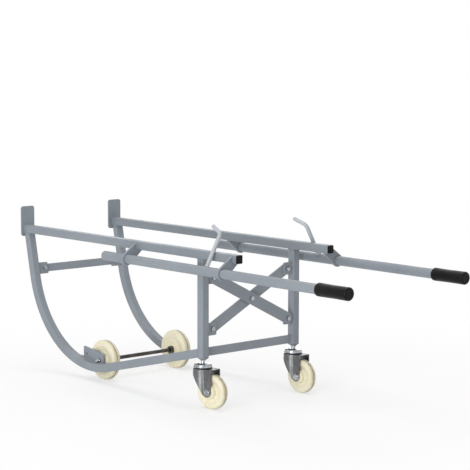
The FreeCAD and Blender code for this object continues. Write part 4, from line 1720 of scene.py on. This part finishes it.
@dataclass
class Caster:
    """Swivel caster: stem, cup, balls, pressed fork, wheel and its bolt."""

    palette: Palette
    trees: Trees
    side: Side
    turn: float
    wheel: Wheel = Wheel(radius=50.5 * MM, tread=12.5 * MM, hub=18.0 * MM, hub_reach=18.5 * MM,
                         bore=8.1 * MM, bush_bore=5.08 * MM)
    fork_edge: float = 0.6 * MM
    draft: float = math.radians(2.6)
    crown_middle: float = 38.0 * MM
    crown_end: float = 24.0 * MM
    crown_waist: float = 5.0 * MM
    wall: float = 2.5 * MM
    cup_hole: float = 6.1 * MM
    stem: float = 6.0 * MM
    stem_head: float = 3.0 * MM
    lock_flats: float = 14.5 * MM
    lock_nut: float = 3.8 * MM
    lock_sunk: float = 0.1 * MM
    balls: int = 18
    flats: float = 17.0 * MM
    nut: float = 8.0 * MM
    bolt: float = 10.0 * MM
    pitch: float = 1.5 * MM
    washer: float = 1.3 * MM
    washer_bore: float = 5.1 * MM
    washer_share: float = 0.62
    washer_eases: tuple[float, ...] = (0.2 * MM, 0.3 * MM, 0.5 * MM, 0.2 * MM)

    @property
    def ahead(self) -> Vector:
        """Direction from the stem to the wheel."""
        return Matrix.Rotation(self.turn, 3, "Z") @ X_AXIS

    @property
    def axle(self) -> Vector:
        """Direction of the wheel's axle."""
        return Matrix.Rotation(self.turn, 3, "Z") @ Y_AXIS

    def build(self) -> None:
        """Make every piece of the caster."""
        tag = self.side.tag
        self.wheel.dress(f"caster_wheel_{tag}", f"caster_bush_{tag}", self.turn, self.palette)
        self._fork(f"caster_fork_{tag}")
        self._cup(f"caster_cup_{tag}")
        self._stem(f"caster_stem_{tag}")
        self._race(f"caster_ball_ring_{tag}")
        self._bolt(f"caster_axle_bolt_{tag}")

    def _fork(self, node: str) -> None:
        """Pressed fork, its round crown a little narrower at the top.

        Args:
            node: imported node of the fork.
        """
        mesh = eased(node, self.fork_edge)
        axis = foot_of(f"caster_stem_{self.side.tag}").to_2d().to_3d()
        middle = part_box(node)[1].z - self.crown_middle
        for vert in mesh.vertices:
            out = vert.co.to_2d().to_3d() - axis
            behind = (self.crown_end - out.dot(self.ahead)) / self.crown_waist
            share = min(1.0, max(0.0, behind))
            vert.co += out.normalized() * (share * (middle - vert.co.z) * math.tan(self.draft))
        # The fork's darker zinc is painted reflection, not a different metal.
        dress(node, "_pressed", mesh, self.palette.pressed_zinc)

    def _cup(self, node: str) -> None:
        """Pressed dish with a steep side, a nearly flat top and a rolled rim.

        Args:
            node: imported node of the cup.
        """
        low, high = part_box(node)
        reach, tall = (high.x - low.x) / 2, high.z - low.z
        profile = round_corners([
            (self.cup_hole, tall, 0.2 * MM),
            (0.48 * reach, tall, 2.4 * MM),
            (0.62 * reach, 0.88 * tall, 3.0 * MM),
            (0.91 * reach, 0.82 * tall, 3.4 * MM),
            (0.955 * reach, 0.27 * tall, 0.8 * MM),
            (reach, 0.21 * tall, 1.0 * MM),
            (reach, 0.0, 1.1 * MM),
            (reach - self.wall, 0.0, 0.5 * MM),
            (0.91 * reach - self.wall, 0.82 * tall - self.wall, 1.5 * MM),
            (0.58 * reach, 0.86 * tall - self.wall, 1.5 * MM),
            (0.46 * reach, tall - self.wall, 1.2 * MM),
            (self.cup_hole, tall - self.wall, 0.2 * MM),
        ])
        mesh = to_mesh(spun(profile, foot_of(node), Z_AXIS, turns=96))
        dress(node, "_pressed", mesh, self.palette.zinc)

    def _stem(self, node: str) -> None:
        """Stem with a domed lower head, and the lock nut under the leg.

        Args:
            node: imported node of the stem.
        """
        low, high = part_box(node)
        head, tall = (high.x - low.x) / 2, high.z - low.z
        profile = round_corners([
            (0.0, 0.0, 0.0),
            (0.8 * head, 0.0, 1.2 * MM),
            (head, 0.55 * self.stem_head, 0.6 * MM),
            (head, self.stem_head, 0.3 * MM),
            (self.stem, self.stem_head, 0.2 * MM),
            (self.stem, tall, 0.8 * MM),
            (0.0, tall, 0.0),
        ], steps=4)
        foot = foot_of(node)
        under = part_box(f"leg_foot_{self.side.tag}")[0].z - self.lock_sunk
        nut = hexagon(self.lock_flats, self.lock_nut, 2 * self.stem)
        nut = placed(nut, Vector((foot.x, foot.y, under)), -Z_AXIS)
        solid = merged([spun(profile, foot, Z_AXIS, turns=48), nut])
        dress(node, "_turned", to_mesh(solid), self.palette.zinc)

    def _race(self, node: str) -> None:
        """Ring of bearing balls.

        Args:
            node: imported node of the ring.
        """
        low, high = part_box(node)
        ball = (high.z - low.z) / 2
        circle = (high.x - low.x) / 2 - ball
        source = bpy.data.meshes.new("start")
        source.from_pydata([(0.0, 0.0, 0.0)], [], [])
        steel = self.palette.bright_steel
        mesh = self.trees.run(self.trees.balls, source, Count=self.balls, Circle_Radius=circle,
                              Ball_Radius=ball, Centre=(low + high) / 2, Finish=steel)
        dress(node, "_balls", mesh, steel)

    def _bolt(self, node: str) -> None:
        """Axle bolt with a head, and its nut with the thread past it, both on washers.

        Args:
            node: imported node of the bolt.
        """
        axle = self.axle
        low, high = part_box(f"caster_wheel_{self.side.tag}")
        centre = (low + high) / 2
        fork = points_of(f"caster_fork_{self.side.tag}")
        legs = [point for point in fork if (point - centre).dot(self.ahead) > 0]
        first, last, inner, outer = (
            place - centre.dot(axle)
            for points in (points_of(node), legs) for place in span(points, axle))
        reach = self.washer_share * self.flats
        washer = sleeve(self.washer_bore, reach, 0.0, self.washer, self.washer_eases)
        near, far = centre + axle * inner, centre + axle * outer
        solids = [
            placed(hexagon(self.flats, abs(first - inner)), near, -axle),
            spun(washer, near, -axle, turns=48),
            placed(hexagon(self.flats, self.nut, self.bolt), far, axle),
            spun(washer, far, axle, turns=48),
            placed(threaded(self.bolt, self.pitch, last - outer), far, axle),
            spun(sleeve(0.0, self.bolt / 2, 0.0, outer - inner), near, axle, turns=40),
        ]
        dress(node, "_plated", to_mesh(merged(solids)), self.palette.zinc)


@dataclass
class Handle:
    """Sliding handle: tube, rear cap, rubber grip and bent hook."""

    palette: Palette
    welds: Welds
    side: Side
    wall: float = 2.3 * MM
    tube_eases: tuple[float, ...] = (0.3 * MM, 0.8 * MM, 0.3 * MM, 0.3 * MM)
    cap_flange: float = 2.5 * MM
    cap_dish: float = 0.5 * MM
    cap_gap: float = 0.08 * MM
    collar: float = 17.0 * MM
    groove: float = 1.6 * MM
    groove_depth: float = 0.8 * MM
    waist: float = 0.5 * MM
    nose: float = 7.0 * MM
    nose_dish: float = 0.9 * MM
    nose_wall: float = 4.0 * MM
    dents: int = 26
    dent_rows: tuple[float, ...] = (0.3, 0.56, 0.82)
    dent_radius: float = 1.5 * MM
    dent_depth: float = 0.7 * MM
    dent_step: float = 0.5 * MM
    dent_skin: float = 0.4 * MM
    even: float = 0.01 * MM
    hook_above: float = 3.2
    hook_slice: float = 13.0 * MM
    hook_start: float = 0.75
    hook_bar: float = 6.0 * MM
    hook_tip: float = 3.0 * MM
    hook_turn: float = math.radians(66.0)
    hook_bend: float = 18.0 * MM
    hook_steps: int = 12
    axis: Vector = field(init=False)
    reach: float = field(init=False)

    def __post_init__(self) -> None:
        """Find the handle's axis and the tube's radius."""
        low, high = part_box(f"handle_tube_{self.side.tag}")
        self.axis = Vector((0.0, (low.y + high.y) / 2, (low.z + high.z) / 2))
        self.reach = (high.z - low.z) / 2

    def build(self) -> None:
        """Make every piece of the handle."""
        tag = self.side.tag
        self._tube(f"handle_tube_{tag}")
        self._cap(f"handle_cap_{tag}")
        self._grip(f"handle_grip_{tag}")
        self._hook(f"drum_hook_{tag}")

    def _foot(self, node: str) -> tuple[Vector, float]:
        """Rear end of a node on the handle's axis, and the node's length."""
        low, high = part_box(node)
        return self.axis + X_AXIS * low.x, high.x - low.x

    def _tube(self, node: str) -> None:
        """Round tube with eased ends.

        Args:
            node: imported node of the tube.
        """
        foot, length = self._foot(node)
        bore = self.reach - self.wall
        profile = sleeve(bore, self.reach, 0.0, length, self.tube_eases, steps=4)
        mesh = to_mesh(spun(profile, foot, X_AXIS))
        dress(node, "_painted", mesh, self.palette.frame_paint)

    def _cap(self, node: str) -> None:
        """Cap with a rounded flange and a slightly dished face.

        Args:
            node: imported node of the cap.
        """
        foot, length = self._foot(node)
        stub = self.reach - self.wall - self.cap_gap
        profile = round_corners([
            (0.0, self.cap_dish, 0.0),
            (0.55 * self.reach, self.cap_dish, 1.0 * MM),
            (0.7 * self.reach, 0.0, 1.0 * MM),
            (self.reach, 0.0, 1.6 * MM),
            (self.reach, self.cap_flange, 0.3 * MM),
            (stub, self.cap_flange, 0.2 * MM),
            (stub, length, 0.6 * MM),
            (0.0, length, 0.0),
        ])
        mesh = to_mesh(spun(profile, foot, X_AXIS))
        dress(node, "_moulded", mesh, self.palette.grey_plastic)

    def _grip(self, node: str) -> None:
        """Rubber sleeve: dented collar, groove, smooth barrel and rounded nose.

        Args:
            node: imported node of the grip.
        """
        foot, length = self._foot(node)
        low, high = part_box(node)
        reach = (high.z - low.z) / 2
        floor, shoulder = reach - self.groove_depth, self.collar + self.groove
        outline = round_corners([
            (self.reach, 0.0, 0.3 * MM),
            (reach, 0.0, 2.5 * MM),
            (reach, self.collar, 0.4 * MM),
            (floor, self.collar, 0.3 * MM),
            (floor, shoulder, 0.3 * MM),
            (reach, shoulder, 0.5 * MM),
            (reach - self.waist, 0.5 * length, 60.0 * MM),
            (reach, length, self.nose),
            (0.42 * reach, length, 1.2 * MM),
            (0.38 * reach, length - self.nose_dish, 0.6 * MM),
            (0.0, length - self.nose_dish, 0.0),
            (0.0, length - self.nose_wall, 0.0),
            (self.reach, length - self.nose_wall, 0.2 * MM),
        ], steps=7)
        solid = lathe(self._divided(outline), turns=156)
        self._dent(solid, reach)
        mesh = to_mesh(placed(solid, foot, X_AXIS), crease=50.0)
        dress(node, "_rubber", mesh, self.palette.grip_rubber)

    def _divided(self, outline: Profile) -> Profile:
        """Divide the outer wall of the grip's collar into short steps.

        Args:
            outline: closed profile of the grip.

        Returns:
            The same outline with more points.
        """
        made: Profile = []
        limit = self.collar + 10 * self.even
        for (radius, place), (next_radius, after) in zip(outline, outline[1:] + outline[:1]):
            made.append((radius, place))
            if abs(radius - next_radius) < self.even and place < after <= limit:
                count = max(1, round((after - place) / self.dent_step))
                made += [(radius, place + (after - place) * step / count)
                         for step in range(1, count)]
        return made

    def _dent(self, solid: Solid, reach: float) -> None:
        """Press rows of round dents into the grip's collar.

        Args:
            solid: the grip about Z, its collar first.
            reach: outer radius of the grip.
        """
        pace = 2 * math.pi * reach / self.dents
        for vert in solid.verts:
            radius = math.hypot(vert.co.x, vert.co.y)
            if vert.co.z > self.collar or radius < reach - self.dent_skin:
                continue
            around = math.atan2(vert.co.y, vert.co.x) / (2 * math.pi) * self.dents
            for number, row in enumerate(self.dent_rows):
                offset = (around + 0.5 * (number % 2)) % 1.0 - 0.5
                apart = math.hypot(offset * pace, vert.co.z - row * self.collar)
                depth = self.dent_depth * max(0.0, 1 - (apart / self.dent_radius) ** 2)
                vert.co.x *= 1 - depth / radius
                vert.co.y *= 1 - depth / radius

    def _hook(self, node: str) -> None:
        """Bent rod on the tube, leaning in over the rail.

        Args:
            node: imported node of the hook.
        """
        points = points_of(node)
        front = span(points, X_AXIS)[1]
        foot = self.axis + X_AXIS * (front - self.hook_bar)
        above, behind = self.axis.z + self.hook_above * self.reach, front - self.hook_slice
        middle = mean([point for point in points if point.z > above and point.x > behind])
        stand = Vector((0, middle.y - foot.y, middle.z - foot.z)).normalized()
        turn, bend = self.hook_turn, self.hook_bend
        tip_way = stand * math.cos(turn) - X_AXIS * math.sin(turn)
        side_way = stand * math.sin(turn) + X_AXIS * math.cos(turn)
        top = span(points, side_way)[1] - self.hook_bar
        reach = (top - foot.dot(side_way)) / stand.dot(side_way)
        corner = foot + stand * reach
        end = span(points, tip_way)[1] - corner.dot(tip_way)
        centre = corner - stand * (bend * math.tan(turn / 2)) - X_AXIS * bend
        path = [foot + stand * self.hook_start * self.reach, foot + stand * (0.5 * reach)]
        for step in range(self.hook_steps + 1):
            angle = turn * step / self.hook_steps
            path.append(centre + X_AXIS * (bend * math.cos(angle))
                        + stand * (bend * math.sin(angle)))
        path += [corner + tip_way * (0.6 * end), corner + tip_way * end]
        mesh = to_mesh(rod(path, self.hook_bar, 32, self.hook_tip), crease=60.0)
        dress(node, "_painted", mesh, self.palette.hook_paint)
        self.welds.hook_seam(self.side, foot, stand, self.reach, self.hook_bar)


# Studio
def seen(bench: Bench) -> Socket:
    """Tell the rays that show the background from those that light the trolley.

    Args:
        bench: bench of the floor's or the world's tree.

    Returns:
        Value that is 1 on rays of the camera and of glossy and clear surfaces.
    """
    path = bench.put("ShaderNodeLightPath").outputs
    shown = bench.math("MAXIMUM", path["Is Camera Ray"], path["Is Glossy Ray"])
    return bench.math("MAXIMUM", shown, path["Is Transmission Ray"])


@dataclass(frozen=True)
class PaleFloor(Finish):
    """Pale matt floor that goes over to white away from the trolley."""

    name: str = "pale_floor"
    colours: tuple[Colour, Colour] = ((0.95, 0.95, 0.95, 1.0), (0.97, 0.97, 0.97, 1.0))
    white: Colour = (1.0, 1.0, 1.0, 1.0)
    roughness: float = 0.9
    gloss: float = 0.1
    fade: tuple[float, float] = (0.3, 1.6)
    fade_shares: tuple[float, float] = (0.55, 1.0)

    def build(self) -> Material:
        """Build the material.

        Returns:
            The finished material.
        """
        material, bench, shader, place = self.open(self.name)
        tint = bench.blend(bench.noise(place, scale=1.4, detail=3.0), *self.colours)
        bench.join(tint, shader.inputs["Base Color"])
        shader.inputs["Roughness"].default_value = self.roughness
        shader.inputs["Specular IOR Level"].default_value = self.gloss
        away = bench.vector("LENGTH", place)["Value"]
        far = bench.ramp(away, *self.fade, *self.fade_shares)
        glow = bench.put("ShaderNodeEmission", {"Color": self.white, "Strength": 1.0})
        share = bench.math("MULTIPLY", far, seen(bench))
        mix = bench.put(
            "ShaderNodeMixShader", {0: share, 1: shader.outputs[0], 2: glow.outputs[0]})
        bench.join(mix.outputs[0], material.node_tree.nodes["Material Output"].inputs[0])
        return material


@dataclass(frozen=True)
class Lamp:
    """One soft rectangular lamp aimed at a point."""

    name: str
    place: Point
    target: Point
    width: float
    height: float
    power: float

    def build(self) -> None:
        """Put the lamp in the scene."""
        light = bpy.data.lights.new(self.name, "AREA")
        light.shape = "RECTANGLE"
        light.size, light.size_y = self.width, self.height
        light.energy = self.power
        lamp = linked(self.name, light)
        lamp.location = self.place
        way = Vector(self.target) - Vector(self.place)
        lamp.rotation_euler = way.to_track_quat("-Z", "Y").to_euler()


@dataclass
class Studio:
    """Pale floor, soft light and the camera."""

    lamps: tuple[Lamp, ...] = (
        Lamp("key", place=(2.43, -6.01, 2.64), target=(0.0, 0.0, 0.3),
             width=4.7, height=4.7, power=146.0),
        Lamp("overhead", place=(-0.2, 0.1, 3.6), target=(0.0, 0.0, 0.0),
             width=2.4, height=2.4, power=48.0),
        Lamp("front_strip", place=(0.93, -3.17, 0.3), target=(0.12, -0.18, 0.2),
             width=0.9, height=0.45, power=29.0),
        Lamp("rear_fill", place=(-2.6, 2.7, 1.5), target=(0.0, 0.0, 0.25),
             width=2.4, height=2.4, power=22.0),
    )
    floor_radius: float = 14.0
    sky: Colour = (1.0, 1.0, 1.0, 1.0)
    sky_strength: float = 0.5
    camera_place: Point = (3.85785, -3.35649, 1.0659)
    yaw: float = math.radians(48.55)
    pitch: float = math.radians(-6.59)
    roll: float = math.radians(0.12)
    lens: float = 132.81
    sensor: float = 36.0
    clip_end: float = 100.0

    def build(self) -> None:
        """Set up everything round the trolley."""
        self._floor()
        self._world()
        for lamp in self.lamps:
            lamp.build()
        self._camera()
        bpy.context.scene.view_settings.view_transform = "Standard"

    def _floor(self) -> None:
        """Round floor under the trolley."""
        solid = bmesh.new()
        bmesh.ops.create_circle(solid, cap_ends=True, segments=96, radius=self.floor_radius)
        floor = linked("floor", to_mesh(solid))
        floor.data.materials.append(PaleFloor().build())

    def _world(self) -> None:
        """White to the camera, softer as light."""
        world = bpy.data.worlds.new("studio")
        bpy.context.scene.world = world
        world.use_nodes = True
        bench = Bench(world.node_tree)
        background = world.node_tree.nodes["Background"]
        background.inputs["Color"].default_value = self.sky
        strength = bench.sums(self.sky_strength, (seen(bench), 1.0 - self.sky_strength))
        bench.join(strength, background.inputs["Strength"])

    def _camera(self) -> None:
        """Camera at the viewing angle of the photograph."""
        level = Vector((-math.sin(self.yaw), math.cos(self.yaw), 0.0))
        ahead = level * math.cos(self.pitch) + Z_AXIS * math.sin(self.pitch)
        right = Vector((math.cos(self.yaw), math.sin(self.yaw), 0.0))
        up = right.cross(ahead)
        across = right * math.cos(self.roll) + up * math.sin(self.roll)
        upward = up * math.cos(self.roll) - right * math.sin(self.roll)
        turn = Matrix((across, upward, -ahead)).transposed()
        data = bpy.data.cameras.new("camera")
        data.lens = self.lens
        data.sensor_width = self.sensor
        data.clip_end = self.clip_end
        camera = linked("camera", data)
        camera.matrix_world = Matrix.Translation(self.camera_place) @ turn.to_4x4()
        bpy.context.scene.camera = camera


def main() -> None:
    """Build the trolley's looks piece by piece."""
    logging.basicConfig(level=logging.INFO, format="%(message)s")
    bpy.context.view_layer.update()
    palette, trees = Palette(), Trees()
    SideFrame(palette).build()
    welds = Welds(palette, trees)
    welds.build()
    Fasteners(palette, trees).build()
    RearAxle(palette).build()
    for side in Side:
        Caster(palette, trees, side, CASTER_TURNS[side]).build()
        Handle(palette, welds, side).build()
    Studio().build()


if __name__ == "__main__":
    main()
